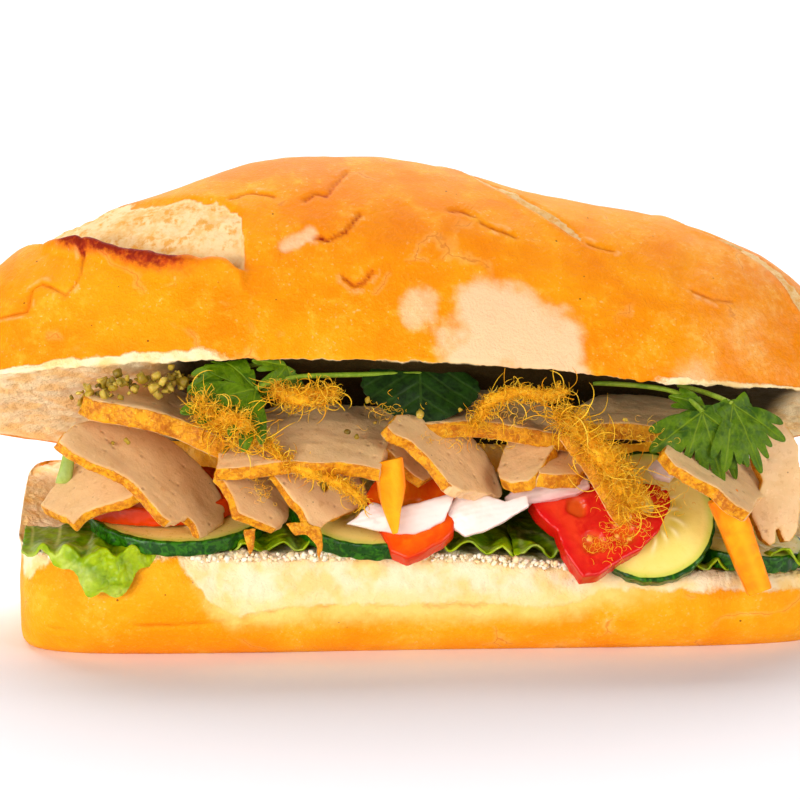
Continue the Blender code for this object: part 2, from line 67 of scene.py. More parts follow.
MM = 0.001
BREAD_LOW, BREAD_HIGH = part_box("bread")
MIDDLE_X = (BREAD_LOW.x + BREAD_HIGH.x) / 2 / MM - 0.38
HINGE_Y = BREAD_HIGH.y / MM - 8.34
LOAF_MIDDLE = (MIDDLE_X, HINGE_Y - 34.5, 0.0)
LOWER_ENDS = (-84.5, 94.0)
LOWER_DEPTH = 38.5
RIM_HEIGHT = 21.6
TORN_RIM = 1.9


def lattice(x, y, z, seed):
    """A repeatable random number from 0 to 1 for each whole-numbered place in space."""
    mixed = (x * 374761393 + y * 668265263 + z * 1440662683 + seed * 1274126177) & 0xFFFFFFFF
    mixed = ((mixed ^ (mixed >> 13)) * 1274126177) & 0xFFFFFFFF
    return ((mixed ^ (mixed >> 16)) & 0xFFFFFF) / 0xFFFFFF


def swell(points, size, seed):
    """Soft uneven waves of one size through space, from -1 to 1, at an array of points."""
    place = points / size
    whole = np.floor(place).astype(np.int64)
    part = place - whole
    part = part * part * (3 - 2 * part)
    total = np.zeros(len(points))
    for corner in range(8):
        step = [(corner >> k) & 1 for k in range(3)]
        share = np.ones(len(points))
        for k in range(3):
            share = share * (part[:, k] if step[k] else 1 - part[:, k])
        total += share * lattice(*(whole[:, k] + step[k] for k in range(3)), seed)
    return total * 2 - 1


def grain(points, size, seed, layers=3):
    """Waves of halving size laid over each other, from about -1 to 1."""
    total = sum(0.55 ** k * swell(points, size / 2**k, seed + k) for k in range(layers))
    return total / sum(0.55**k for k in range(layers))


def pores(points, size, seed):
    """Distance to the nearest of many scattered bubbles: 0 in a bubble, and about 1 between them."""
    place = points / size
    whole = np.floor(place).astype(np.int64)
    nearest = np.full(len(points), 9.0)
    for step in range(27):
        cell = whole + np.array([step % 3 - 1, step // 3 % 3 - 1, step // 9 - 1])
        spot = np.column_stack([cell[:, k] + lattice(*cell.T, seed + k) for k in range(3)])
        nearest = np.minimum(nearest, np.linalg.norm(spot - place, axis=1))
    return nearest


def ease(low, high, value):
    share = np.clip((value - low) / (high - low), 0, 1)
    return share * share * (3 - 2 * share)


def bell(value, middle, width):
    return np.exp(-(((value - middle) / width) ** 2))


def fullness(share, power):
    """How wide a rounded form still is at a share of the way from its middle to its end."""
    return np.maximum(0.0, 1.0 - np.abs(share) ** power) ** (1.0 / power)


def outward(rows):
    """The direction that a grid of points faces at each point, where its rows run round a body along X."""
    along = np.gradient(rows, axis=0)
    around = np.roll(rows, -1, axis=1) - np.roll(rows, 1, axis=1)
    facing = np.cross(along, around)
    return facing / (np.linalg.norm(facing, axis=2, keepdims=True) + 1e-9)


def keep_layers(mesh, layers):
    """Keeps a number for each vertex under each layer's name, for the finishes to read."""
    for layer, values in layers.items():
        kept = np.asarray(values, np.float32).reshape(-1)
        mesh.attributes.new(layer, "FLOAT", "POINT").data.foreach_set("value", kept)


def meshed(name, points, faces, layers):
    """A smooth piece through points in millimetres."""
    mesh = bpy.data.meshes.new(name)
    mesh.from_pydata((points * MM).tolist(), [], faces)
    keep_layers(mesh, layers)
    mesh.shade_smooth()
    piece = bpy.data.objects.new(name, mesh)
    bpy.context.scene.collection.objects.link(piece)
    return piece


def skin(name, rows, layers):
    """A closed piece through rows of points round a body, drawn together at both ends."""
    count, around = rows.shape[:2]
    points = np.vstack([rows.reshape(-1, 3), rows[0].mean(0), rows[-1].mean(0)])
    i, j = np.meshgrid(np.arange(count - 1), np.arange(around), indexing="ij")
    k = (j + 1) % around
    quads = np.stack([i * around + j, i * around + k, (i + 1) * around + k, (i + 1) * around + j], 2)
    faces = quads.reshape(-1, 4)[:, ::-1].tolist()
    last = (count - 1) * around
    for n in range(around):
        m = (n + 1) % around
        faces.append((count * around, n, m))
        faces.append((count * around + 1, last + m, last + n))
    for layer, values in layers.items():
        values = values.reshape(count, around)
        layers[layer] = np.append(values, [values[0].mean(), values[-1].mean()])
    return meshed(name, points, faces, layers)


def stations(left, right, count):
    """Places from one end of the loaf to the other, closer together at both ends."""
    turn = np.pi * (np.arange(count) + 0.4) / (count - 0.2)
    even = np.linspace(left, right, count + 2)[1:-1]
    return 0.55 * ((left + right) / 2 - (right - left) / 2 * np.cos(turn)) + 0.45 * even


def lower_rim(x, y):
    """Height of the lower half's cut face: it rises to the back and at the left tip, and falls to the right."""
    slope = 0.105 * (y + LOWER_DEPTH)
    fall = 0.085 * np.maximum(0.0, x) * (1 - ease(-25.0, 34.0, y))
    return RIM_HEIGHT + slope - fall + 4.0 * ease(-66.0, -90.0, x) * ease(-32.0, 8.0, y)


def end_share(x):
    """How far a place is from the middle of the lower half to its end, from -1 to 1."""
    left, right = LOWER_ENDS
    return (2 * x - left - right) / (right - left)


def lower_half():
    x = stations(*LOWER_ENDS, 330)[:, None]
    share = end_share(x)
    depth = LOWER_DEPTH * fullness(share, 6.0)
    turn = np.linspace(0, np.pi, 170)[None, :]
    y = depth * np.sign(np.cos(turn)) * np.abs(np.cos(turn)) ** 0.32
    rim = lower_rim(x, y)
    bulge = 1.0 + 0.035 * np.sin(np.pi * np.sin(turn) ** 0.5)
    z = np.maximum(0.0, rim - (rim + 2.4) * fullness(share, 22.0) * np.sin(turn) ** 0.6)
    wall = np.stack([x + 0 * y, y * bulge, z], 2)
    across = np.linspace(-1, 1, 92)[None, 1:-1]
    y = depth * across
    cut = np.stack([x + 0 * y, y, lower_rim(x, y)], 2)
    rows = np.concatenate([wall, cut], 1)

    flat = rows.reshape(-1, 3)
    px, py, pz = flat.T
    front_rim = lower_rim(px, -LOWER_DEPTH)
    below = front_rim - pz
    on_cut = np.zeros(rows.shape[:2])
    on_cut[:, wall.shape[1] :] = 1.0
    on_cut = on_cut.reshape(-1)

    # The bare pale patch: how far the crumb runs down the front below the rim, along the loaf.
    reach = np.interp(
        px,
        (-90, -82, -77, -60, -50, -47, -43, -38, -26, -10, 8, 24, 36, 41, 60, 95),
        (6.0, 4.5, 1.0, 0.0, 0.2, 3.0, 8.0, 10.6, 9.4, 9.4, 8.8, 8.2, 6.5, 3.0, 2.4, 2.2),
    )
    ragged = reach + 1.5 * grain(flat, 9.0, 3) + 0.9 * grain(flat, 2.4, 4)
    front = ease(-20, -30, py)
    crumb = np.maximum(on_cut, front * ease(2.6, -2.2, below - ragged))
    crumb = np.maximum(crumb, 0.8 * ease(-79, -87, px) * ease(14, 22, pz + 2 * grain(flat, 6, 5)))
    flour = front * bell(below, reach * 1.05, 4.2) * ease(-52, -38, px) * ease(66, 40, px)
    flour *= 0.85 + 0.5 * grain(flat, 5.0, 7)

    facing = outward(rows).reshape(-1, 3)
    open_holes = ease(0.42, 0.12, pores(flat * (1, 1.2, 1), 3.4, 11))
    open_holes += 0.5 * ease(0.5, 0.2, pores(flat, 1.7, 12))
    lift = 0.55 * grain(flat, 26.0, 20) + 0.22 * grain(flat, 7.0, 21)
    lift += (1 - crumb) * 0.05 * grain(flat, 1.6, 22)
    lift += crumb * (0.30 * grain(flat, 2.2, 23) - 0.4 * open_holes - 0.3 + 0.12 * grain(flat, 0.9, 24))
    fold = bell(px, -51, 7.5) * bell(pz, 15.5, 6.5) * front
    lift += 1.3 * fold
    seam = pz - 7.0 - 0.05 * (px + 62) - 1.6 * grain(flat, 9, 31) - 0.7 * grain(flat, 2.5, 32)
    split = bell(seam, 0, 0.5) * ease(-84, -72, px) * ease(-34, -48, px) * ease(-0.25, 0.1, grain(flat, 7, 34))
    under_patch = below - ragged - 0.9 - 0.7 * grain(flat, 4, 33)
    tear = bell(under_patch, 0, 0.5) * ease(-44, -30, px) * ease(40, 28, px)
    split = front * (split + tear * ease(-0.15, 0.2, grain(flat, 6, 35)))
    lift -= 0.6 * split
    lift *= ease(0.0, 1.6, pz) * 0.85 + 0.15
    flat = flat + facing * lift[:, None]
    edge = bell(below, 0, 1.8) * front * (1 - 0.35 * on_cut)
    flat[:, 2] += edge * (TORN_RIM + 1.0 * grain(flat, 3.2, 26) + 0.7 * grain(flat, 1.2, 27))
    flat[:, 1] += edge * 0.8 * grain(flat, 1.9, 28)
    flat[:, 2] = np.maximum(flat[:, 2], 0.0)
    flat += LOAF_MIDDLE
    layers = {"crumb": crumb, "toast": 0.45 * split, "pale": np.clip(flour, 0, 1)}
    # Painted shade: the bubble holes of the cut crumb are kept as a layer that the finish darkens a little.
    layers["hollow"] = crumb * open_holes
    return skin("loaf_lower_half", flat.reshape(rows.shape), layers)


class Tone:
    """A number or colour that a finish works out at each point. Sums on it add the shader's maths nodes."""

    def __init__(self, finish, socket):
        self.finish = finish
        self.socket = socket

    def sum(self, operation, first, second=0.0):
        return self.finish.node("ShaderNodeMath", {"operation": operation}, {0: first, 1: second})

    def __add__(self, other):
        return self.sum("ADD", self, other)

    def __sub__(self, other):
        return self.sum("SUBTRACT", self, other)

    def __rsub__(self, other):
        return self.sum("SUBTRACT", other, self)

    def __mul__(self, other):
        return self.sum("MULTIPLY", self, other)

    __radd__ = __add__
    __rmul__ = __mul__

    def between(self, low, high):
        """0 below one value and 1 above another, with a soft change between them."""
        settings = {"interpolation_type": "SMOOTHSTEP"}
        values = {"Value": self, "From Min": low, "From Max": high}
        return self.finish.node("ShaderNodeMapRange", settings, values)


class Finish:
    """A material in the making: its shader, and the ways that patterns and colours are added to it."""

    def __init__(self, name, roughness, **constants):
        self.material = bpy.data.materials.new(name)
        self.material.use_nodes = True
        self.tree = self.material.node_tree
        self.shader = self.tree.nodes["Principled BSDF"]
        self.shader.inputs["Roughness"].default_value = roughness
        for socket, value in constants.items():
            self.shader.inputs[socket.replace("_", " ")].default_value = value
        self.place = self.node("ShaderNodeTexCoord", {}, {}, "Object")

    def node(self, kind, settings, values, output=0):
        made = self.tree.nodes.new(kind)
        for name, value in settings.items():
            if name == "stops":
                ramp = made.color_ramp
                while len(ramp.elements) < len(value):
                    ramp.elements.new(0.5)
                for element, (position, colour) in zip(ramp.elements, value):
                    element.position = position
                    element.color = (*colour, 1.0)
            else:
                setattr(made, name, value)
        for name, value in values.items():
            self.join(made.inputs[name], value)
        return Tone(self, made.outputs[output])

    def join(self, socket, value):
        if isinstance(value, Tone):
            self.tree.links.new(value.socket, socket)
        elif isinstance(value, tuple) and len(value) == 3 and socket.type == "RGBA":
            socket.default_value = (*value, 1.0)
        else:
            socket.default_value = value

    def speckle(self, size, detail=2.0, rough=0.55, warp=0.0):
        """Cloudy variation from 0 to 1 whose patches are about so many millimetres across."""
        values = {"Vector": self.place, "Scale": 1 / (size * MM), "Detail": detail}
        values.update({"Roughness": rough, "Distortion": warp})
        return self.node("ShaderNodeTexNoise", {}, values, "Fac")

    def cells(self, size, feature="F1", wander=0.0):
        """Distance to the nearest spot, or to the nearest line, of a pattern of cells; the lines may wander."""
        place = self.place
        if wander:
            values = {"Vector": place, "Scale": 2.2 / (size * MM), "Detail": 4.0}
            away = self.node("ShaderNodeTexNoise", {}, values, "Color")
            values = {0: away, 1: (wander * MM,) * 3, 2: place}
            place = self.node("ShaderNodeVectorMath", {"operation": "MULTIPLY_ADD"}, values, "Vector")
        values = {"Vector": place, "Scale": 1 / (size * MM)}
        return self.node("ShaderNodeTexVoronoi", {"feature": feature}, values, "Distance")

    def layer(self, name):
        return self.node("ShaderNodeAttribute", {"attribute_name": name}, {}, "Fac")

    def blend(self, share, one, other):
        """One colour passing into another as the share goes from 0 to 1."""
        values = {"Factor": share, 6: one, 7: other}
        return self.node("ShaderNodeMix", {"data_type": "RGBA"}, values, 2)

    def ramp(self, share, *stops):
        return self.node("ShaderNodeValToRGB", {"stops": stops}, {"Fac": share}, "Color")

    def relief(self, height, depth, strength=1.0):
        """Fine height detail, so many millimetres deep, felt by light only."""
        values = {"Height": height, "Distance": depth * MM, "Strength": strength}
        self.put("Normal", self.node("ShaderNodeBump", {}, values, "Normal"))

    def put(self, socket, value):
        self.join(self.shader.inputs[socket], value)


def srgb(red, green, blue):
    """Linear light for a colour that is known as it looks, in 255ths."""
    shares = (red / 255, green / 255, blue / 255)
    return tuple(c / 12.92 if c <= 0.04 else ((c + 0.055) / 1.055) ** 2.4 for c in shares)


def baked_crust(name, deep, golden, light, flour, crumb_light, crumb_warm):
    """Thin crackled crust: orange-gold with paler peach clouds, white open crumb where it is cut or torn."""
    finish = Finish(name, 0.6, Specular_IOR_Level=0.07, Subsurface_Weight=0.08,
                    Subsurface_Scale=0.003, Subsurface_Radius=(1.0, 0.5, 0.2))
    broad = finish.speckle(34, 3, 0.55, 0.6)
    patch = finish.speckle(9, 4, 0.6, 0.4)
    fine = finish.speckle(1.5, 3, 0.6)
    sand = finish.speckle(0.7, 3, 0.7)
    crust = finish.blend((broad * 0.6 + patch * 0.4).between(0.38, 0.64), deep, golden)
    crust = finish.blend((patch * 0.6 + fine * 0.4).between(0.50, 0.72) * 0.6, crust, light)
    crust = finish.blend(sand.between(0.52, 0.70) * 0.22, crust, light)
    freckle = finish.speckle(0.8, 2, 0.5).between(0.62, 0.74) * patch.between(0.40, 0.66)
    crust = finish.blend(freckle * 0.5, crust, srgb(250, 206, 140))
    plates = finish.cells(19, "DISTANCE_TO_EDGE", 9.0)
    chosen = finish.speckle(13, 2).between(0.56, 0.63)
    hair = plates.between(0.011, 0.003) * chosen
    crust = finish.blend(plates.between(0.060, 0.015) * chosen * patch * 0.35, crust, srgb(252, 204, 128))
    crust = finish.blend(hair * 0.45, crust, srgb(206, 100, 14))
    char = finish.cells(5.2).between(0.060, 0.035) * broad.between(0.47, 0.55)
    crust = finish.blend(char * 0.8, crust, srgb(110, 48, 16))
    dusted = finish.layer("pale") + (fine - 0.5) * 0.4 + (patch - 0.5) * 0.3
    crust = finish.blend(dusted.between(0.08, 0.95) * 0.92, crust, flour)
    toast = finish.layer("toast")
    crust = finish.blend((toast * (0.45 + fine * 1.1)).between(0.10, 1.05), crust, srgb(190, 66, 8))
    scorch = (toast * (finish.speckle(1.8, 3, 0.6) * 0.7 + fine * 0.5)).between(0.38, 0.66)
    crust = finish.blend(scorch * 0.9, crust, srgb(124, 24, 6))
    cream = finish.blend(finish.speckle(7, 3).between(0.38, 0.66), crumb_light, crumb_warm)
    cream = finish.blend(finish.layer("pale").between(0.2, 0.9) * 0.55, cream, srgb(252, 214, 122))
    # Painted shade: crumb in the bubble holes is darkened a little towards brown.
    cream = finish.blend(finish.layer("hollow") * 0.15, cream, srgb(244, 192, 120))
    mottled = (patch * 0.5 + fine * 0.5).between(0.40, 0.62)
    burst = finish.blend(mottled, srgb(248, 214, 160), srgb(240, 190, 116))
    baked = (finish.speckle(3.0, 4, 0.7) + patch * 0.2).between(0.60, 0.74)
    burst = finish.blend(baked * 0.7, burst, srgb(230, 156, 48))
    cream = finish.blend(finish.layer("burst"), cream, burst)
    bare = (finish.layer("crumb") + (fine - 0.5) * 0.45 + (sand - 0.5) * 0.25).between(0.32, 0.62)
    # Painted shade: the cut face under the upper half's front lip is blended to near-black brown, standing in
    # for the shade cast by the filling.
    inside = finish.blend(finish.layer("soaked").between(0.1, 0.9), cream, srgb(50, 38, 12))
    finish.put("Base Color", finish.blend(bare, crust, inside))
    finish.put("Roughness", 0.5 + bare * 0.35 + (fine - 0.5) * 0.12)
    grit = sand * 0.7 + patch * 0.8 + finish.speckle(3.2, 4, 0.6, 0.8) * 0.9
    finish.relief(grit + bare * finish.speckle(0.9, 4) * 0.7, 0.5, 0.8)
    return finish.material


def finished(piece, material, slot, *nodes):
    """Gives a piece its material, and says which solids of the frame it stands for."""
    piece.data.materials.clear()
    piece.data.materials.append(material)
    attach(piece, "root")
    if nodes:
        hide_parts(*nodes)


loaf_lower = lower_half()
finished(
    loaf_lower,
    baked_crust(
        "deck_crust",
        deep=srgb(247, 150, 6),
        golden=srgb(252, 170, 22),
        light=srgb(254, 192, 72),
        flour=srgb(254, 212, 118),
        crumb_light=srgb(253, 230, 190),
        crumb_warm=srgb(251, 210, 136),
    ),
    "crust",
    "bread",
)


# ---------------------------------------------------------------------------------------------------------
# The upper half of the loaf, leaning back on the fold behind it. It was slashed three times before baking:
# the left slash has burst wide open over pale crumb under a raised, toasted ear, and the other two are thin.

UPPER_LENGTH = 101.0
UPPER_DEPTH = 40.0
UPPER_HEIGHT = 58.0
FOLD_HEIGHT = 31.0
TILT = Euler((math.radians(-24.5), math.radians(1.2), 0)).to_matrix().to_4x4()
LEAN = Matrix.Translation((MIDDLE_X, HINGE_Y, FOLD_HEIGHT)) @ TILT

# Each slash as a band on the crust: along the loaf, the angle up from the front lip of its near and far edge.
# Then how deep each is cut, how high its near lip stands, and how wide that lip is.
BURST_SLASH = ((-97, 100, 114), (-88, 84, 108), (-83, 64, 102), (-79, 49, 98), (-74, 43.5, 94),
               (-69.5, 40.5, 86), (-66, 36.5, 78), (-60.5, 31, 66), (-54, 27, 59), (-45.5, 24, 49),
               (-40, 22.5, 43), (-37, 19, 38), (-35.2, 18, 21))
MIDDLE_SLASH = ((-22, 112, 116), (-8, 100, 106), (4, 88, 94), (12, 72, 80), (17, 58.5, 66), (20.5, 55.5, 62),
                (24.5, 51, 59), (29.5, 45, 53), (33.5, 41, 47.5), (38, 37.5, 39))
RIGHT_SLASH = ((40, 112, 118), (52, 92, 100), (59, 76, 84), (63.5, 62, 70), (70, 58, 66.5), (75.5, 53.5, 64),
               (80, 48, 60), (82.5, 43, 57), (85, 34, 51), (90, 24, 40), (95, 20, 21))
BURST_FORM = (3.6, 2.4, 3.4)
MIDDLE_FORM = (1.2, 0.4, 2.6)
RIGHT_FORM = (1.4, 0.5, 2.6)

# Hairline cracks in the crust, each a line of places: along the loaf, angle up from the front lip.
HAIR_CRACKS = (
    ((-39, 44), (-35, 45), (-32, 43), (-29.5, 41)),
    ((-23, 39), (-20.5, 42), (-18.5, 41), (-16, 47), (-13.5, 53)),
    ((-21, 27), (-18, 26), (-14.5, 28), (-11, 34)),
    ((-15, 16), (-13, 14.5), (-11, 15), (-9, 18)),
    ((-88, 22), (-82.5, 20), (-81.5, 28), (-79.5, 29), (-74, 21), (-71, 27), (-70, 40)),
    ((38.5, 38), (41, 37), (44, 37)),
    ((8.5, 39), (11, 40), (14, 39)),
    ((15, 37), (18, 35.5), (22.5, 34)),
    ((61, 27), (66, 25), (70, 26.5)),
)

# Other lines on the crust, given the same way: a soft crease, a scraped scar, and where the crust stayed pale.
CREASE = ((-35.5, 21), (-35.0, 14), (-34.2, 7), (-33.5, 1))
SCAR = ((-27.6, 24.6), (-24, 26.5), (-22.0, 28.0))
PALE_PATCH = ((13, 0), (16.5, 6), (26, 4), (30, 0))
PALE_SPOT = ((-0.5, 9), (0.5, 12), (2.5, 11))
PALE_LIP = ((58, 0), (60, 1))


def placed(points, place):
    """Points carried from a piece's own frame into its place."""
    return points @ np.array(place.to_3x3()).T + np.array(place.translation)


def slash(x, turn, band, form, fray):
    """Relief, bareness and lip of a slash, which drops steeply at its near edge and rises to its far one."""
    depth, lip, lip_width = form
    along, near, far = np.array(band, float).T
    inside = ease(along[0], along[0] + 7, x) * ease(along[-1], along[-1] - 2.0, x)
    low = np.interp(x, along, near)
    high = np.interp(x, along, far)
    share = (turn - low) / np.maximum(high - low, 0.5)
    bare = ease(-0.02, 0.05, share) * ease(1.04, 0.86, share + fray) * inside
    floor = -depth * (1 - 0.75 * np.clip(share, 0, 1) ** 0.8)
    floor *= ease(-0.03, 0.07, share) * ease(1.06, 0.9, share)
    ridge = np.exp(-(((turn - low + 0.45 * lip_width) / lip_width) ** 2)) * (turn < low + 1.5)
    return inside * (floor + lip * ridge), bare, ridge * inside


def near_line(x, turn, line):
    """Distance, roughly in millimetres, from places on the crust to a line of places on it."""
    nearest = np.full(x.shape, 99.0)
    for (x1, t1), (x2, t2) in zip(line, line[1:]):
        dx, dt = x2 - x1, (t2 - t1) * 0.75
        share = np.clip(((x - x1) * dx + (turn - t1) * 0.75 * dt) / (dx * dx + dt * dt), 0, 1)
        nearest = np.minimum(nearest, np.hypot(x - x1 - share * dx, (turn - t1) * 0.75 - share * dt))
    return nearest


def upper_half():
    x = stations(-UPPER_LENGTH, UPPER_LENGTH, 340)[:, None]
    hump = UPPER_HEIGHT - 9.2 * ease(-12.0, 45.0, x) - 6.0 * ease(-25.0, -62.0, x)
    width = fullness(x / UPPER_LENGTH, 2.6)
    depth, height = UPPER_DEPTH * width, hump * width
    turn = np.interp(np.linspace(0, 1, 200), (0, 0.74, 1), (0, np.radians(112), np.pi))[None, :]
    angle = np.degrees(turn) + 0 * x
    droop = 3.4 * bell(x, 58.0, 36.0)
    y = -depth * np.sign(np.cos(turn)) * np.abs(np.cos(turn)) ** 0.92
    z = height * np.maximum(np.sin(turn), 0) ** 0.9 - droop * np.maximum(0, np.cos(turn)) ** 2.8
    crown = np.stack([x + 0 * y, y, z], 2)
    across = np.linspace(1, -1, 60)[None, 1:-1]
    z = 0.9 * (1 - across**2) * height / UPPER_HEIGHT - droop * np.maximum(0, -across) ** 3
    cut = np.stack([x + 0 * across, depth * across, z], 2)
    rows = np.concatenate([crown, cut], 1)
    flat = rows.reshape(-1, 3)
    px, py, pz = flat.T
    on_cut = np.zeros(rows.shape[:2])
    on_cut[:, crown.shape[1] :] = 1
    on_cut = on_cut.reshape(-1)
    full_angle = np.concatenate([angle, np.full(cut.shape[:2], -30.0)], 1).reshape(-1)

    wobble = 1.1 * grain(flat, 8, 41) + 0.6 * grain(flat, 2.5, 42)
    fray = 0.16 * grain(flat, 7, 43) + 0.12 * grain(flat, 2.0, 44)
    burst, bare_1, ear = slash(px, full_angle + wobble, BURST_SLASH, BURST_FORM, fray)
    thin_1, bare_2, lip_2 = slash(px, full_angle + 0.8 * wobble, MIDDLE_SLASH, MIDDLE_FORM, fray)
    thin_2, bare_3, lip_3 = slash(px, full_angle + 0.8 * wobble, RIGHT_SLASH, RIGHT_FORM, fray)
    bare = np.maximum(np.maximum(bare_1, bare_2), bare_3)
    ear_fade = ease(-83, -74, px)
    burst += (1 - ear_fade) * -2.4 * ear
    ear_peak = ear * bell(px, -71.5, 2.6) * 0.7
    along, near, _ = np.array(BURST_SLASH, float).T
    under_ear = np.interp(px, along, near) - full_angle - wobble
    glow = ease(11.0, 0.0, under_ear) * ease(-3.0, 0.0, under_ear) * ease(-77, -72, px) * ease(-36, -58, px)
    cracks, flakes = np.zeros(len(flat)), np.zeros(len(flat))
    for line in HAIR_CRACKS:
        away = near_line(px, full_angle + 0.9 * wobble, line)
        cracks = np.maximum(cracks, bell(away, 0, 0.55))
        flakes = np.maximum(flakes, bell(away, 1.3, 0.7) * ease(-0.1, 0.3, grain(flat, 3.0, 45)))
    crease = bell(near_line(px, full_angle + 0.5 * wobble, CREASE), 0, 0.8)
    scar = ease(2.3, 0.7, near_line(px, full_angle, SCAR) + 0.9 * grain(flat, 2.2, 46))

    facing = outward(rows).reshape(-1, 3)
    holes = ease(0.42, 0.12, pores(flat, 3.6, 51)) + 0.5 * ease(0.5, 0.2, pores(flat, 1.8, 52))
    lift = 0.9 * grain(flat, 30, 60) + 0.35 * grain(flat, 9, 61) + 0.05 * grain(flat, 1.8, 62)
    lift = lift * (1 - 0.8 * on_cut) + burst + thin_1 + thin_2 + 1.0 * ear_peak
    lift += bare * (0.55 * grain(flat, 3.0, 63) + 0.25 * grain(flat, 1.1, 64) - 0.3 * holes)
    torn_crumb = 0.2 * grain(flat, 2.6, 65) + 0.1 * grain(flat, 1.0, 66) + grain(flat, 12, 67)
    lift += on_cut * (torn_crumb - 0.3 * holes)
    lift += -0.5 * cracks + 0.25 * flakes + 0.3 * crease - 0.5 * scar
    flat = flat + facing * lift[:, None]
    to_front = -py / np.repeat(depth[:, 0], rows.shape[1])
    lip = bell(full_angle, 0, 2.2) * (1 - on_cut) + on_cut * ease(0.90, 0.99, to_front)
    flat[:, 2] += lip * (0.7 * grain(flat, 3.4, 68) + 0.4 * grain(flat, 1.1, 69))
    flat[:, 1] += lip * 0.5 * grain(flat, 1.6, 70)

    # Where the crust stayed pale: a big floury patch low on the right of the front, and small ones beside it.
    rough_edge = 5.0 * grain(flat, 15, 72) + 4.0 * grain(flat, 5.5, 74) + 1.6 * grain(flat, 2.0, 77)
    pale = ease(11.0, 2.0, near_line(px, full_angle, PALE_PATCH) + rough_edge)
    pale += 0.6 * ease(3.8, 0.8, near_line(px, full_angle, PALE_SPOT) + 0.5 * rough_edge)
    pale += 0.35 * bell(near_line(px, full_angle, PALE_LIP), 0, 3)
    pale += 0.7 * scar + 0.14 * crease + 0.4 * flakes
    pale += 0.34 * ease(34, 78, px) * (0.8 + 0.5 * grain(flat, 9, 79))
    torn = ease(3.2, 0.2, full_angle + 1.6 * grain(flat, 5, 73)) * ease(-34, -50, px) * (1 - on_cut)
    spotty = 0.25 + 0.75 * np.maximum(ease(-44, -54, px), ease(46, 58, px))
    torn += ease(1.4, 0.2, full_angle + 0.9 * grain(flat, 4, 74)) * (1 - on_cut) * 0.8 * spotty
    # Painted shade: the cut face under the front lip, where the filling shades it, is painted near-black brown.
    soaked = on_cut * ease(-62, -44, px + 4 * grain(flat, 9, 76)) * ease(92, 78, px)
    toast = glow * (0.62 + 0.45 * grain(flat, 5, 75)) + 0.45 * ear * ear_fade * ease(-40, -56, px)
    browned = 0.30 * bell(px, -10, 26) * bell(full_angle, 26, 22) * (1 + 0.6 * grain(flat, 11, 78))
    toast += browned * (1 - np.clip(pale, 0, 1)) + 0.10 * ear + 0.25 * (lip_2 + lip_3) + 0.55 * cracks
    toast = np.clip(toast, 0, 1)
    crumb = np.clip(np.maximum(np.maximum(on_cut, bare), torn), 0, 1)
    flat = placed(flat - (0, UPPER_DEPTH, 0), LEAN)
    layers = {"crumb": crumb, "toast": toast * (1 - bare), "pale": np.clip(pale, 0, 1)}
    # Painted shade: the bubble holes of the cut face are kept as a layer that the finish darkens a little.
    layers.update({"hollow": on_cut * holes, "soaked": soaked, "burst": bare})
    return skin("loaf_upper_half", flat.reshape(rows.shape), layers)


loaf_upper = upper_half()
finished(
    loaf_upper,
    baked_crust(
        "top_crust",
        deep=srgb(240, 134, 2),
        golden=srgb(250, 158, 8),
        light=srgb(253, 184, 56),
        flour=srgb(248, 206, 160),
        crumb_light=srgb(255, 232, 184),
        crumb_warm=srgb(254, 210, 138),
    ),
    "crust",
    "bread",
)


# ---------------------------------------------------------------------------------------------------------
# The fold: the strip of crust along the back that the knife left whole. It bulges a little where the loaf
# was bent open, and the crust has cracked across it.

FOLD_LENGTH = 77.0
FOLD_DEPTH = 6.4
FOLD_RISE = 10.5


def back_fold():
    x = stations(-FOLD_LENGTH, FOLD_LENGTH, 110)[:, None]
    size = fullness(x / FOLD_LENGTH, 3.0)
    back = 33.5 - UPPER_DEPTH * (1 - fullness(x / UPPER_LENGTH, 2.6))
    turn = np.linspace(2 * np.pi, 0, 49)[None, :-1]
    y = back + FOLD_DEPTH * size * np.cos(turn)
    z = FOLD_HEIGHT + 0.6 + FOLD_RISE * size * np.sin(turn)
    rows = np.stack([x + 0 * turn, y, z], 2)
    flat = rows.reshape(-1, 3)
    lift = 0.4 * grain(flat, 9, 80) + 0.12 * grain(flat, 2, 81)
    wrinkles = bell(swell(flat * (1, 0.15, 0.3), 4.5, 82), 0.1, 0.16)
    flat = flat + outward(rows).reshape(-1, 3) * (lift - 0.45 * wrinkles)[:, None]
    flat += LOAF_MIDDLE
    pale = np.clip(0.5 * grain(rows.reshape(-1, 3), 8, 83) + 0.1, 0, 1)
    return skin("loaf_back_fold", flat.reshape(rows.shape), {"toast": 0.3 * wrinkles, "pale": pale})


fold = back_fold()
finished(
    fold,
    baked_crust(
        "fold_crust",
        deep=srgb(242, 142, 10),
        golden=srgb(250, 162, 24),
        light=srgb(253, 188, 76),
        flour=srgb(248, 206, 150),
        crumb_light=srgb(255, 240, 212),
        crumb_warm=srgb(254, 220, 160),
    ),
    "crust",
    "bread",
)


# ---------------------------------------------------------------------------------------------------------
# The lettuce: three leaves of loose-leaf lettuce laid on the lower half. Each is one thin blade, pale at the
# rib and bright green at its frilled rim; the left one hangs out over the front of the bread.

# Name, solid, ends, how far the flap stands out, how deep it hangs, how high it curls up, its middle, seed.
LETTUCE = (
    ("lettuce_leaf_left", "lettuce_left", (-82.5, -44.0), 3.4, 8.8, 0.0, -65.0, 1),
    ("lettuce_leaf_middle", "lettuce_middle", (-43.0, 22.5), 0.4, 0.0, 0.6, 5.0, 2),
    ("lettuce_leaf_right", "lettuce_right", (22.0, 85.0), 0.4, 0.0, 4.2, 79.0, 3),
)


def blade_faces(columns, rows):
    """The faces of a flat grid of points, which runs row by row along its columns."""
    i, j = np.meshgrid(np.arange(columns - 1), np.arange(rows - 1), indexing="ij")
    start, after = i * rows + j, (i + 1) * rows + j
    return np.stack([start, start + 1, after + 1, after], 2).reshape(-1, 4)


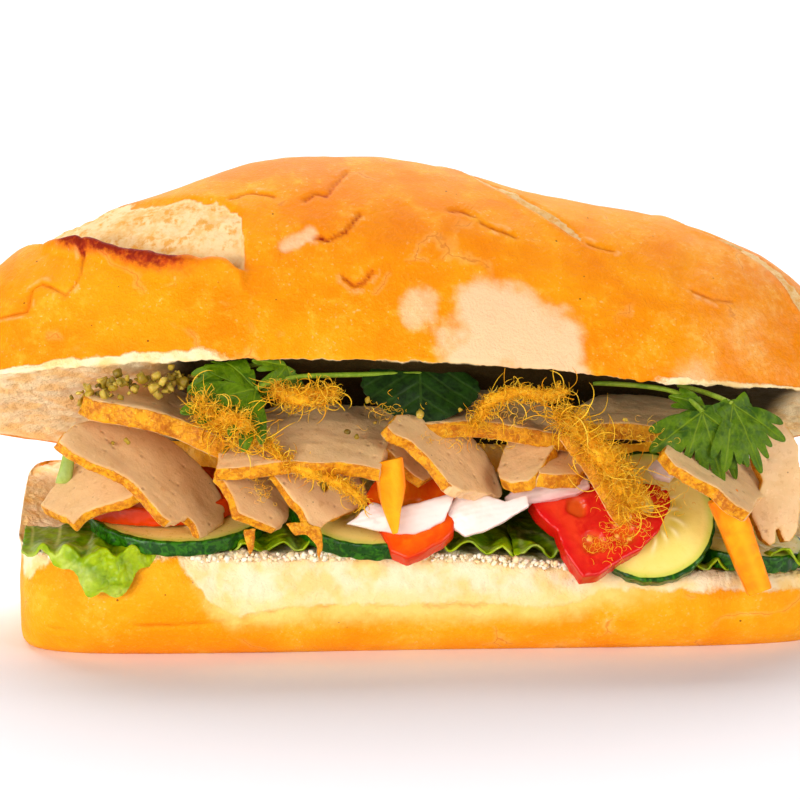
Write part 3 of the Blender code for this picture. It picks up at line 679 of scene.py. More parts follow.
def thickened(leaf, thickness):
    """Gives a flat leaf its thickness, half of it on each side."""
    bpy.context.view_layer.objects.active = leaf
    thicken = leaf.modifiers.new("blade", "SOLIDIFY")
    thicken.thickness = thickness * MM
    thicken.offset = 0.0
    bpy.ops.object.modifier_apply(modifier="blade")
    return leaf


def lettuce_leaf(name, ends, stand_out, hang, curl, flap, seed):
    """One blade over the lower half, denser and more frilled towards its front rim."""
    columns, rows = 210, 120
    u, v = np.meshgrid(np.linspace(0, 1, columns), np.linspace(0, 1, rows) ** 1.5, indexing="ij")
    x = ends[0] + (ends[1] - ends[0]) * u
    over = bell(x, flap, 9.0)
    spot = np.stack([x.ravel(), 0 * x.ravel(), np.full(x.size, 7.0 * seed)], 1)
    rim_wave = grain(spot, 6.0, seed).reshape(x.shape)
    front = -LOWER_DEPTH + 1.3 - (stand_out + 0.6) * over - 0.7 * rim_wave
    bend = 0.20 if hang else 0.0
    run = np.maximum(0, v - bend) / (1 - bend)
    hung = np.maximum(0, bend - v) / max(bend, 0.01)
    back = 12.0 - 34.0 * ease(-62.0, -76.0, x)
    y = front + (back - front) * run - 0.5 * hung * over
    z = lower_rim(x, np.maximum(y, -LOWER_DEPTH)) + 2.3 - hang * over * hung * (1 + 0.25 * rim_wave)
    flat = np.stack([x.ravel(), y.ravel(), z.ravel()], 1)
    near_rim = (1 - run).ravel() ** 4
    frill = np.sin(x.ravel() * 0.95 + 3.0 * swell(flat, 9, seed + 5) + seed) * near_rim
    waves = 0.7 * near_rim * grain(flat, 3.2, seed + 6) + 0.35 * grain(flat, 8, seed + 7)
    flat[:, 2] += curl * near_rim * over.ravel() + 1.2 * frill + waves
    flat[:, 1] += 0.7 * near_rim * grain(flat, 2.6, seed + 8) * (1 + over.ravel())
    flat[:, 0] += 0.8 * near_rim * grain(flat, 3.0, seed + 9)
    sides = np.minimum(u, 1 - u).ravel()
    flat[:, 2] += 1.6 * ease(0.06, 0.0, sides) * grain(flat, 4.0, seed + 10)
    pucker = pores(flat * (1, 1, 0.3), 3.4, seed + 11)
    flat[:, 2] += 0.4 * ease(0.1, 0.7, pucker)
    veins = ease(0.16, 0.0, np.abs(swell(flat * (1, 0.45, 1), 6.5, seed + 12)))
    flat += LOAF_MIDDLE
    faces = blade_faces(columns, rows)[:, (0, 3, 2, 1)].tolist()
    layers = {"rim": near_rim, "vein": veins * (1 - 0.5 * near_rim)}
    return thickened(meshed(name, flat, faces, layers), 0.45)


def leaf_green(name, deep, bright, pale):
    """A wet crisp leaf: bright at the frill, deeper in cloudy patches, paler along its veins and rib."""
    finish = Finish(name, 0.36, Specular_IOR_Level=0.25, Subsurface_Weight=0.25,
                    Subsurface_Scale=0.003, Subsurface_Radius=(0.6, 1.0, 0.1))
    cloud = finish.speckle(6, 3, 0.6, 0.5)
    fine = finish.speckle(1.0, 2)
    colour = finish.blend(cloud.between(0.35, 0.65), deep, bright)
    colour = finish.blend((finish.layer("rim") * 0.8 + (cloud - 0.5)).between(0.3, 1.0) * 0.7, colour, pale)
    colour = finish.blend(finish.layer("vein") * 0.55, colour, srgb(214, 224, 130))
    finish.put("Base Color", finish.blend(fine.between(0.4, 0.8) * 0.25, colour, deep))
    finish.put("Roughness", 0.25 + fine * 0.25)
    blister = finish.cells(1.5).between(0.05, 0.7)
    finish.relief(blister * 0.6 + fine * 0.4 - finish.layer("vein") * 0.3, 0.25, 0.7)
    return finish.material


lettuce_green = leaf_green("lettuce_green", srgb(80, 124, 2), srgb(132, 168, 0), srgb(176, 198, 4))
for name, solid, ends, stand_out, hang, curl, flap, seed in LETTUCE:
    finished(lettuce_leaf(name, ends, stand_out, hang, curl, flap, seed), lettuce_green, "lettuce", solid)


def lettuce_rib():
    """The pale juicy foot of the left leaf, standing up between the halves at the left."""
    bpy.ops.object.select_all(action="DESELECT")
    bpy.ops.mesh.primitive_cylinder_add(vertices=24, radius=0.5, depth=1.0, location=(0, 0, 0))
    rib = bpy.context.object
    rib.name = rib.data.name = "lettuce_rib"
    bpy.ops.object.mode_set(mode="EDIT")
    bpy.ops.mesh.select_all(action="SELECT")
    bpy.ops.mesh.subdivide(number_cuts=5)
    bpy.ops.object.mode_set(mode="OBJECT")
    form = np.array([vert.co for vert in rib.data.vertices])
    rise = form[:, 2] + 0.5
    width = 3.6 - 1.6 * rise
    spot = np.column_stack([form[:, 0] * width, form[:, 1] * 1.7, rise * 9.5])
    spot += 0.35 * np.column_stack([grain(spot, 4, 91), grain(spot, 4, 92), 0 * rise])
    spot[:, 0] += 0.5 * np.sin(rise * 3) + 1.2 * rise
    spot[:, 1] += 4.0 * rise**2
    spot += np.array((-74.0, -28.5, 37.0)) + LOAF_MIDDLE
    rib.data.vertices.foreach_set("co", (spot * MM).ravel())
    keep_layers(rib.data, {"rim": 0.4 + 0.5 * rise, "vein": 1.0 - 0.5 * rise})
    rib.data.shade_smooth()
    rib.select_set(False)
    return rib


finished(lettuce_rib(), lettuce_green, "lettuce")


# ---------------------------------------------------------------------------------------------------------
# The cucumber: round slices of an unpeeled cucumber about 4 mm thick, laid on the lettuce and stood against
# the front. Wet pale flesh, a ring of flat seeds in clear jelly, and a dark green skin round the rim.

# Name, solid, middle, turn, radius, thickness: where each slice was laid, in the loaf's own millimetres.
CUCUMBER = (
    ("cucumber_slice_left", "cucumber_left", (-49.5, -22.5, 27.6), (7.0, 1.0, 0), 19.2, 3.3),
    ("cucumber_slice_middle", "cucumber_middle", (-9.0, -27.0, 29.0), (18.0, 4.0, 0), 16.5, 3.8),
    ("cucumber_slice_right", "cucumber_right", (51.0, -33.5, 28.6), (62.0, 0.0, 0), 14.6, 3.8),
    ("cucumber_slice_far_right", "cucumber_far_right", (73.5, -25.5, 20.8), (9.0, 5.0, 0), 13.5, 3.8),
)


def laid_at(at, turn):
    """Where a piece of filling lies: its own flat frame, carried into place in the loaf."""
    spot = Vector(at) + Vector(LOAF_MIDDLE)
    return Matrix.Translation(spot) @ Euler([math.radians(angle) for angle in turn]).to_matrix().to_4x4()


def select_only(piece):
    bpy.ops.object.select_all(action="DESELECT")
    bpy.context.view_layer.objects.active = piece
    piece.select_set(True)


def slab(name, outline, thickness, ragged, seed):
    """A flat slice cut to an outline of corners, its edge a little ragged, lying in its own frame."""
    corners = np.array(outline, float)
    edge = []
    for corner, after in zip(corners, np.roll(corners, -1, 0)):
        steps = max(1, int(np.linalg.norm(after - corner) / 0.8))
        edge += [corner + (after - corner) * k / steps for k in range(steps)]
    edge = np.array(edge)
    spot = np.column_stack([edge, np.full(len(edge), 3.7 * seed)])
    edge += ragged * np.column_stack([grain(spot, 3.0, seed), grain(spot, 3.0, seed + 1)])
    low = np.column_stack([edge, np.full(len(edge), -thickness / 2)])
    piece = meshed(name, low, [list(range(len(edge)))], {})
    select_only(piece)
    bpy.ops.object.mode_set(mode="EDIT")
    bpy.ops.mesh.select_all(action="SELECT")
    bpy.ops.mesh.extrude_region_move(TRANSFORM_OT_translate={"value": (0, 0, thickness * MM)})
    bpy.ops.mesh.select_all(action="SELECT")
    bpy.ops.mesh.normals_make_consistent(inside=False)
    bpy.ops.object.mode_set(mode="OBJECT")
    piece.select_set(False)
    return piece


def evened(piece, voxel, smoothing, place, shape):
    """Turns a slab into an even fine mesh, shapes it and lays it in place. shape(own, facing) gets every
    point in the piece's own flat frame, and returns where they go, how far outwards, and their layers."""
    bpy.context.view_layer.objects.active = piece
    remesh = piece.modifiers.new("even", "REMESH")
    remesh.mode = "VOXEL"
    remesh.voxel_size = voxel * MM
    soften = piece.modifiers.new("soften", "SMOOTH")
    soften.iterations = smoothing
    soften.factor = 0.5
    for step in ("even", "soften"):
        bpy.ops.object.modifier_apply(modifier=step)
    mesh = piece.data
    count = len(mesh.vertices)
    own = np.empty(count * 3)
    mesh.vertices.foreach_get("co", own)
    own = own.reshape(-1, 3) / MM
    facing = np.empty(count * 3, np.float32)
    mesh.vertex_normals.foreach_get("vector", facing)
    facing = facing.reshape(-1, 3).astype(float)
    moved, lift, layers = shape(own, facing)
    moved = placed(moved + facing * lift[:, None], place)
    mesh.vertices.foreach_set("co", (moved * MM).ravel())
    keep_layers(mesh, layers)
    mesh.shade_smooth()
    mesh.update()
    return piece


def round_outline(radius, uneven, seed):
    turn = np.linspace(0, 2 * np.pi, 73)[:-1]
    size = radius * (1 + uneven * np.cos(2 * turn + seed) + 0.5 * uneven * np.cos(3 * turn + 2 * seed))
    return np.column_stack([size * np.cos(turn), size * np.sin(turn)])


def cucumber_slice(name, at, turn, radius, thickness, seed):
    def shape(own, facing):
        x, y = own[:, 0], own[:, 1]
        away = np.hypot(x, y) / radius
        angle = np.arctan2(y, x)
        flat_face = ease(0.5, 0.85, np.abs(facing[:, 2]))
        jelly = bell(away, 0.36 + 0.05 * np.cos(3 * angle), 0.17) * flat_face
        beds = 15
        slot = (angle / (2 * np.pi) * beds + 0.25 * np.sin(away * 9 + seed)) % 1 - 0.5
        seeds = bell(slot, 0, 0.17) * bell(away, 0.42 + 0.05 * np.cos(5 * angle + seed), 0.10) * flat_face
        peel = ease(0.93, 0.975, away + 0.01 * grain(own, 2.5, seed + 8))
        lift = 0.12 * grain(own, 4, seed) + 0.03 * grain(own, 1.1, seed + 1) - 0.22 * jelly + 0.20 * seeds
        lift += peel * 0.12 * np.cos(angle * 26 + 0.6 * np.sin(own[:, 2] * 2))
        bowed = own.copy()
        bowed[:, 2] += 0.5 * away**2 * np.cos(angle * 2 + seed)
        return bowed, lift, {"peel": peel, "jelly": jelly, "seed": seeds, "away": away}

    blank = slab(name, round_outline(radius, 0.012, seed), thickness, 0.15, seed + 40)
    return evened(blank, 0.36, 5, laid_at(at, turn), shape)


def cucumber_flesh():
    finish = Finish("cucumber_flesh", 0.28, Specular_IOR_Level=0.3, Subsurface_Weight=0.25,
                    Subsurface_Scale=0.003, Subsurface_Radius=(1.0, 1.0, 0.5))
    fine = finish.speckle(1.0, 3)
    cloud = finish.speckle(5, 2)
    flesh = finish.blend(cloud, srgb(250, 232, 144), srgb(246, 220, 106))
    rim_green = finish.layer("away").between(0.80, 0.97)
    flesh = finish.blend(rim_green * 0.75, flesh, srgb(178, 200, 60))
    flesh = finish.blend(finish.layer("jelly") * 0.85, flesh, srgb(208, 184, 60))
    flesh = finish.blend(finish.layer("seed") * 0.9, flesh, srgb(252, 238, 176))
    streaks = finish.speckle(2.0, 3, 0.6, 1.5).between(0.45, 0.60)
    skin_green = finish.blend(streaks, srgb(14, 66, 0), srgb(46, 108, 2))
    finish.put("Base Color", finish.blend(finish.layer("peel").between(0.25, 0.6), flesh, skin_green))
    finish.put("Roughness", 0.18 + fine * 0.25)
    finish.relief(fine * 0.6 + finish.layer("seed") * 0.5, 0.2, 0.6)
    return finish.material


cucumber_finish = cucumber_flesh()
for seed, (name, solid, at, turn, radius, thickness) in enumerate(CUCUMBER):
    finished(cucumber_slice(name, at, turn, radius, thickness, seed), cucumber_finish, "cucumber", solid)


# ---------------------------------------------------------------------------------------------------------
# The tomato: slices of ripe tomato, one laid flat and the others leaning, turned to the front. Red walls
# under a thin glossy skin, with wet pockets of orange jelly and pale seeds between them.

# Name, solid, middle, turn, thickness, radius or corners, pockets of jelly (x, y, radius).
TOMATO = (
    ("tomato_slice_left", "tomato_left", (-54.5, -15.2, 31.9), (4.5, 1.0, 0), 4.2, 19.5,
     ((-6, -9, 4), (7, -8, 4), (0, 8, 4))),
    ("tomato_slice_middle", "tomato_middle", (-1.0, -36.0, 31.0), (50.0, -6.0, 0), 4.2,
     ((-6.3, -4.0), (-8.5, 4.5), (-4.0, 9.5), (4.0, 10.0), (9.0, 5.0), (10.0, -2.5), (9.1, -6.5), (5.8, -9.1),
      (2.4, -10.7), (-1.4, -12.0), (-4.9, -9.6)), ((1, -2, 4.5), (-2, 5, 3))),
    ("tomato_slice_behind", "tomato_behind", (4.0, -22.0, 36.0), (60.0, 4.0, 0), 4.0, 10.0, ((0, 0, 4),)),
    ("tomato_slice_right", "tomato_right", (37.0, -36.6, 27.6), (54.0, 10.0, 0), 4.6,
     ((-12.4, 2.5), (-10.6, 4.4), (-6.4, 7.0), (-0.8, 9.6), (6.0, 10.5), (12.5, 11.5), (17.1, 12.5),
      (17.7, 7.2), (15.9, 0.9), (11.8, -4.5), (7.7, -7.6), (3.6, -11.5), (0.2, -12.6), (-2.5, -9.9),
      (-4.3, -7.3), (-6.2, -2.9), (-8.5, -1.6), (-11.1, 0.9)),
     ((2.0, -4.5, 3.2), (8.0, -1.0, 3.4), (-2.5, 3.0, 2.8), (12.5, 6.0, 3.0))),
)


def tomato_slice(name, at, turn, thickness, outline, pockets, seed):
    corners = round_outline(outline, 0.02, seed) if isinstance(outline, float) else np.array(outline)
    after = np.roll(corners, -1, 0)

    def shape(own, facing):
        flat_face = ease(0.45, 0.8, np.abs(facing[:, 2]))
        inside = np.full(len(own), 99.0)
        for one, other in zip(corners, after):
            way = other - one
            share = np.clip(((own[:, :2] - one) @ way) / (way @ way + 1e-9), 0, 1)
            inside = np.minimum(inside, np.linalg.norm(own[:, :2] - one - share[:, None] * way, axis=1))
        wet = np.zeros(len(own))
        for x, y, size in pockets:
            away = np.hypot(own[:, 0] - x, own[:, 1] - y) + 0.8 * grain(own, 3, seed + 3)
            wet = np.maximum(wet, ease(size, size * 0.55, away))
        wet = wet * flat_face
        seeds = ease(0.34, 0.16, pores(own * (1, 1, 0.6), 2.5, seed + 4)) * ease(0.4, 0.9, wet)
        peel = ease(1.0, 0.5, inside) * (1 - 0.6 * flat_face)
        lift = 0.25 * grain(own, 4, seed) - 1.0 * wet + 0.8 * seeds + 0.06 * grain(own, 1.0, seed + 2)
        return own, lift, {"peel": peel, "jelly": wet, "seed": seeds, "wall": ease(3.5, 0.8, inside)}

    return evened(slab(name, corners, thickness, 0.3, seed + 50), 0.36, 5, laid_at(at, turn), shape)


def tomato_flesh(name, wall, warm, jelly_colour, peel):
    finish = Finish(name, 0.2, Specular_IOR_Level=0.25, Subsurface_Weight=0.2,
                    Subsurface_Scale=0.003, Subsurface_Radius=(1.0, 0.3, 0.1))
    fine = finish.speckle(0.9, 3)
    cloud = finish.speckle(5, 3, 0.6, 0.8)
    warmer = cloud.between(0.35, 0.65) * 0.7 + fine * 0.3
    flesh = finish.blend(warmer * (1.0 - finish.layer("wall") * 0.7), wall, warm)
    flesh = finish.blend(finish.layer("jelly") * 0.75, flesh, jelly_colour)
    flesh = finish.blend(finish.layer("seed").between(0.2, 0.7) * 0.85, flesh, srgb(246, 186, 78))
    finish.put("Base Color", finish.blend(finish.layer("peel") * 0.8, flesh, peel))
    finish.put("Roughness", 0.1 + fine * 0.2)
    finish.relief(fine * 0.5 + cloud * 0.5, 0.25, 0.5)
    return finish.material


# Each slice's ripeness, and for the slice behind painted shade: its finish's name, then its wall, its warmer
# parts, its jelly and its peel.
RIPENESS_AND_PAINTED_SHADE = {
    "tomato_left": ("tomato_laid", (226, 66, 0), (234, 92, 0), (236, 106, 0), (216, 58, 0)),
    "tomato_middle": ("tomato_orange", (228, 72, 8), (236, 122, 8), (240, 146, 16), (206, 26, 6)),
    # Painted shade: the slice behind the others is given dark reds, for the shade it lies in.
    "tomato_behind": ("tomato_painted_shade", (150, 10, 16), (180, 34, 24), (170, 60, 20), (140, 8, 12)),
    "tomato_right": ("tomato_red", (212, 14, 20), (236, 66, 32), (226, 100, 24), (198, 14, 8)),
}
for seed, (name, solid, at, turn, thickness, outline, pockets) in enumerate(TOMATO):
    ripe, *colours = RIPENESS_AND_PAINTED_SHADE[solid]
    tomato_finish = tomato_flesh(ripe, *(srgb(*colour) for colour in colours))
    tomato_piece = tomato_slice(name, at, turn, thickness, outline, pockets, seed)
    finished(tomato_piece, tomato_finish, "tomato", solid)


# ---------------------------------------------------------------------------------------------------------
# The onion: torn petals of raw white onion, crisp and wet, with fine lines along them. The long one behind
# the tomato is from a purple shallot.

# Name, solid, place, turn, thickness, how purple, corners.
ONION = (
    ("onion_petal_left", "onion_left", (-4.5, -40.2, 30.8), (66.0, -12.0, 0), 1.5, 0.12,
     ((-9.9, 1.0), (-7.6, 1.8), (-3.3, 4.3), (0.5, 1.6), (6.4, 1.9), (13.0, 2.4), (14.1, 2.1), (12.5, -0.3),
      (10.8, -2.9), (7.3, -4.1), (4.0, -4.4), (0.9, -3.9), (-2.5, -2.6), (-6.0, -0.8))),
    ("onion_petal_middle", "onion_middle", (13.0, -39.8, 30.6), (64.0, -11.0, 0), 1.7, 0.0,
     ((-2.4, 5.8), (2.7, 4.5), (7.0, 2.0), (12.0, 2.6), (11.7, -0.1), (9.0, -1.2), (5.0, -2.6), (1.0, -3.6),
      (-2.8, -3.8), (-4.8, -1.6), (-6.3, 0.6), (-4.6, 3.3))),
    ("onion_petal_right", "onion_right", (28.6, -35.5, 34.8), (58.0, -13.0, 0), 2.0, 0.8,
     ((-8.6, 1.4), (-4.9, 2.8), (-0.4, 3.1), (4.9, 2.6), (9.5, 1.2), (9.5, -1.2), (6.0, -2.2), (0.6, -2.1),
      (-3.7, -1.7), (-6.7, -0.9), (-8.6, 0.3))),
    ("onion_petal_far_right", "onion_far_right", (55.5, -31.5, 37.8), (52.0, -20.0, 0), 2.0, 0.1,
     ((-4.0, 2.9), (0.5, 4.2), (3.4, 1.6), (1.7, -0.9), (-0.4, -1.9), (-3.0, 0.0))),
)


def onion_petal(name, at, turn, thickness, purple, corners, seed):
    def shape(own, facing):
        x, y = own[:, 0], own[:, 1]
        curl = 0.05 * (y - 0.5) ** 2 + 0.012 * (x - 3) ** 2 + 0.5 * grain(own * (1, 1, 0), 6.0, seed)
        bowed = own.copy()
        bowed[:, 2] += 0.6 - curl
        lift = 0.16 * grain(own, 2.0, seed + 1) + 0.025 * np.sin(y * 5.5 + 0.8 * grain(own, 6, seed + 2))
        return bowed, lift, {"tint": purple * (0.4 + 0.6 * ease(0.2, 2.6, np.abs(y)))}

    return evened(slab(name, corners, thickness, 0.2, seed + 60), 0.26, 6, laid_at(at, turn), shape)


def onion_flesh():
    finish = Finish("onion_flesh", 0.3, Specular_IOR_Level=0.5, Subsurface_Weight=0.35,
                    Subsurface_Scale=0.003, Subsurface_Radius=(1.0, 0.8, 0.7))
    fine = finish.speckle(1.2, 3)
    cloud = finish.speckle(6, 2)
    flesh = finish.blend(cloud, srgb(255, 238, 230), srgb(252, 222, 210))
    finish.put("Base Color", finish.blend(finish.layer("tint").between(0.1, 1.1), flesh, srgb(214, 140, 138)))
    finish.put("Roughness", 0.22 + fine * 0.2)
    finish.relief(fine, 0.15, 0.5)
    return finish.material


onion_white = onion_flesh()
for seed, (name, solid, at, turn, thickness, purple, corners) in enumerate(ONION):
    finished(onion_petal(name, at, turn, thickness, purple, corners, seed), onion_white, "onion", solid)


# ---------------------------------------------------------------------------------------------------------
# The carrot: sticks of raw carrot cut by hand, square with eased corners and tapering to a point, wet, with
# the knife's fine marks along them.

CARROT = (
    ("carrot_stick_middle", "carrot_middle", (-4.2, -44.2, 28.2), (-7.0, -4.0, 0), 16.0, 6.0, 3.4, 0.2),
    ("carrot_stick_right", "carrot_right", (73.6, -43.2, 14.4), (-6.0, -21.0, 0), 22.5, 6.8, 4.6, 0.75),
    ("carrot_stick_behind", "carrot_behind", (13.5, -33.0, 31.0), (-10.0, -38.0, 0), 12.0, 5.0, 4.0, 0.7),
)


def carrot_stick(name, at, turn, length, width, depth, point, seed):
    """Cut standing up: its lower end may come to a point, and its upper end was cut across at a slant."""
    half = width / 2
    corners = (
        (-half * point, 0),
        (half * point, 0),
        (half * (0.45 + 0.55 * point), length * 0.3),
        (half, length * 0.62),
        (half * 0.94, length),
        (-half, length * 0.96),
        (-half * 0.9, length * 0.5),
        (-half * (0.5 + 0.5 * point), length * 0.25),
    )
    stand = laid_at(at, turn) @ Matrix.Rotation(math.pi / 2, 4, "X")

    def shape(own, facing):
        lift = 0.2 * grain(own * (1, 0.3, 1), 3.0, seed) + 0.05 * grain(own * (1, 0.25, 1), 0.9, seed + 1)
        edge = ease(0.6, 0.95, np.abs(own[:, 0]) / half) * ease(0.4, 0.9, np.abs(own[:, 2]) / depth * 2)
        bowed = own.copy()
        bowed[:, 2] += 0.0016 * (own[:, 1] - length / 2) ** 2
        return bowed, lift, {"core": bell(own[:, 0], 0.2 * half, 0.35 * half), "edge": edge}

    return evened(slab(name, corners, depth, 0.12, seed + 70), 0.28, 5, stand, shape)


def carrot_flesh():
    finish = Finish("carrot_flesh", 0.34, Specular_IOR_Level=0.2, Subsurface_Weight=0.25,
                    Subsurface_Scale=0.003, Subsurface_Radius=(1.0, 0.45, 0.1))
    fine = finish.speckle(0.8, 3)
    cloud = finish.speckle(4, 3, 0.6, 0.6)
    flesh = finish.blend(cloud.between(0.3, 0.7), srgb(248, 136, 0), srgb(252, 164, 4))
    flesh = finish.blend(finish.layer("core") * 0.45, flesh, srgb(255, 190, 36))
    finish.put("Base Color", finish.blend(finish.layer("edge") * 0.5, flesh, srgb(232, 96, 4)))
    finish.put("Roughness", 0.24 + fine * 0.2)
    finish.relief(fine * 0.6 + cloud * 0.4, 0.2, 0.5)
    return finish.material


carrot_orange = carrot_flesh()
for seed, (name, solid, at, turn, length, width, depth, point) in enumerate(CARROT):
    finished(carrot_stick(name, at, turn, length, width, depth, point, seed), carrot_orange, "carrot", solid)


# ---------------------------------------------------------------------------------------------------------
# The pork roll: slices of steamed and fried pork roll, torn by hand and fanned along the front. The cut faces
# are smooth and pale with small pinholes; the rim is the roll's fried outside, golden brown and rough, and an
# end where a slice was torn is pale and ragged.

# Name, place, turn, thickness, the side that was torn (degrees round the slice, or None), corners.
PORK = (
    ("pork_01", (-65.5, -37.5, 33.8), (24, -22, 0), 2.6, None,
     ((-12.8, 8.0), (-11.1, 9.8), (-6.0, 14.1), (1.0, 18.2), (8.4, 15.4), (10.5, 4.2), (9.0, -3.4),
      (5.6, -4.1), (0.0, -3.4), (-3.6, -2.8), (-6.6, -4.8), (-7.8, -0.8), (-10.5, 3.0))),
    ("pork_02", (-60.5, -41.0, 39.4), (27, 38, 0), 2.5, 0,
     ((-12.8, -4.1), (-16.2, -3.0), (-15.5, 4.9), (-10.1, 14.0), (-2.8, 17.3), (6.4, 19.8), (11.9, 19.5),
      (16.5, 19.0), (19.5, 16.9), (21.7, 13.7), (23.1, 10.4), (21.8, 5.6), (19.8, 1.0), (17.2, 2.9),
      (15.0, 2.6), (13.8, -0.6), (12.7, -3.1), (10.3, -3.6), (6.8, -3.1), (3.0, -1.5), (0.1, -0.8),
      (-3.4, -1.8), (-8.0, -3.1))),
    ("pork_03", (-50.0, -38.5, 50.2), (7, 20, 0), 4.6, None,
     ((-20, 3), (-17.5, -0.5), (-9, -1.2), (0, -0.6), (9, -1.0), (18.5, 0.5), (20.5, 6), (18, 14), (8, 20),
      (-6, 20), (-16, 13))),
    ("pork_04", (-36.8, -41.0, 34.6), (30, 40, 0), 2.4, 30,
     ((-7.3, 0.2), (-7.8, 6.8), (-3.4, 13.3), (2.5, 15.5), (7.5, 12.0), (9.7, 8.8), (10.3, 5.8), (10.4, 2.0),
      (9.4, -1.2), (6.6, -2.8), (3.2, -4.1), (0.8, -4.9), (-2.4, -1.9), (-5.1, -0.1))),
    ("pork_05", (-22.0, -40.0, 44.6), (25, 1, 0), 3.4, 0,
     ((-19.5, -5.0), (-18.4, 5.8), (-14.2, 14.3), (1.2, 17.3), (10.2, 17.4), (20.2, 19.4), (18.9, 12.6),
      (17.5, 6.0), (16.1, -0.5), (14.6, -6.2), (8.4, -5.8), (0.5, -6.3), (-5.7, -5.4), (-12.4, -6.2))),
    ("pork_06", (-25.6, -42.0, 33.6), (44, 44, 0), 2.3, None,
     ((-9.2, 1.5), (-9.5, 5.6), (-6.2, 11.3), (-0.7, 16.0), (1.6, 14.6), (1.0, 9.4), (2.6, 7.4), (3.6, 8.2),
      (3.2, 12.0), (3.4, 17.0), (8.5, 18.1), (12.4, 15.8), (11.2, 10.6), (8.0, 3.6), (6.7, -1.2), (4.6, -1.6),
      (1.6, -0.2), (-1.4, -0.1), (-5.0, 1.0))),
    ("pork_07", (0.5, -34.0, 41.0), (22, 36, 0), 2.6, 0,
     ((-9.7, 0.0), (-6.3, 8.7), (1.8, 9.9), (5.4, 5.9), (5.8, 1.4), (2.8, -6.9), (0.3, -7.3), (-3.8, -6.6),
      (-8.2, -4.0))),
    ("pork_08", (4.2, -41.2, 42.4), (27, 40, 0), 2.8, -25,
     ((-13.2, -1.4), (-12.4, 4.1), (-4.1, 10.7), (4.5, 15.4), (9.0, 14.8), (12.7, 12.5), (16.2, 9.7),
      (17.3, 7.3), (11.5, 0.3), (7.3, -4.6), (4.1, -5.5), (1.1, -4.4), (-2.9, -2.6), (-7.2, -1.7),
      (-11.1, -2.6))),
    ("pork_09", (15.5, -35.5, 48.4), (9, 3, 0), 4.0, None,
     ((-19, 4), (-18.5, -0.5), (-10, -1.5), (-2, -0.4), (7, -1.6), (15, -0.8), (19, 0.6), (20, 8), (16, 17),
      (4, 22), (-10, 20))),
    ("pork_10", (24.4, -36.5, 40.6), (24, -20, 0), 3.0, None,
     ((-6.2, 1.2), (-1.5, 8.7), (6.4, 10.4), (7.4, 1.9), (4.0, -2.6), (1.8, -5.4), (-1.1, -7.4), (-4.6, -5.6),
      (-6.2, -3.0))),
    ("pork_11", (33.0, -35.5, 40.0), (18, 10, 0), 3.4, 180,
     ((-7.2, -4.0), (-5.7, 6.4), (2.7, 9.9), (5.2, 1.2), (2.2, -5.5), (-3.4, -8.1), (-6.8, -8.0))),
    ("pork_12", (38.6, -41.0, 38.8), (12, 55, 0), 3.2, None,
     ((-11.5, 1), (-10.5, 8), (-4, 12), (4, 12.5), (9.5, 9), (12.0, 4), (11.6, -0.6), (8, -1.8), (2, -1.2),
      (-4, -0.4), (-9, -0.6))),
    ("pork_13", (50.5, -34.0, 47.6), (9, 4, 0), 3.6, 0,
     ((-16.5, 3), (-15.5, -0.8), (-7, -0.8), (2, -1.8), (10, -1.2), (16, -1.6), (18, 4), (15, 14), (6, 20),
      (-8, 19), (-14, 12))),
    ("pork_14", (64.0, -39.6, 38.6), (20, 34, 0), 3.0, 20,
     ((-13.2, -5.5), (-12.1, 3.6), (-3.2, 12.1), (7.7, 16.3), (13.4, 13.4), (13.6, 6.1), (10.9, 0.4),
      (8.7, -8.6), (4.8, -9.9), (0.3, -7.6), (-4.8, -9.4), (-10.6, -9.2))),
    ("pork_15", (78.2, -36.6, 23.0), (74, 4, 8), 3.0, 100,
     ((-6.6, 25.4), (1.6, 26.4), (4.9, 21.5), (5.4, 13.9), (5.3, 7.5), (4.4, 3.1), (2.6, 0.6), (1.2, 0.4),
      (0.2, 3.6), (-0.6, 4.2), (-0.6, 0.6), (-2.0, -0.4), (-3.9, 1.2), (-5.2, 4.8), (-6.4, 7.1), (-4.4, 11.0),
      (-3.0, 13.7), (-4.9, 16.9))),
)

# Crisp torn tips that hang below two of the slices, in the same order: their torn side is "skin", as they are
# fried all over.
PORK_TIPS = (
    ("pork_tip_left", (-34.6, -43.4, 25.6), (80, 0, 0), 1.6, "skin",
     ((-1.6, 4.0), (1.6, 4.2), (0.9, 1.0), (0.1, -2.4), (-0.8, 1.0))),
    ("pork_tip_right", (-23.0, -44.0, 24.6), (78, 10, 0), 1.6, "skin",
     ((-5.0, 5.2), (-1.0, 6.6), (2.4, 5.8), (3.0, 2.6), (3.3, -2.4), (1.8, 1.6), (-0.6, 3.4), (-3.2, 3.2))),
)


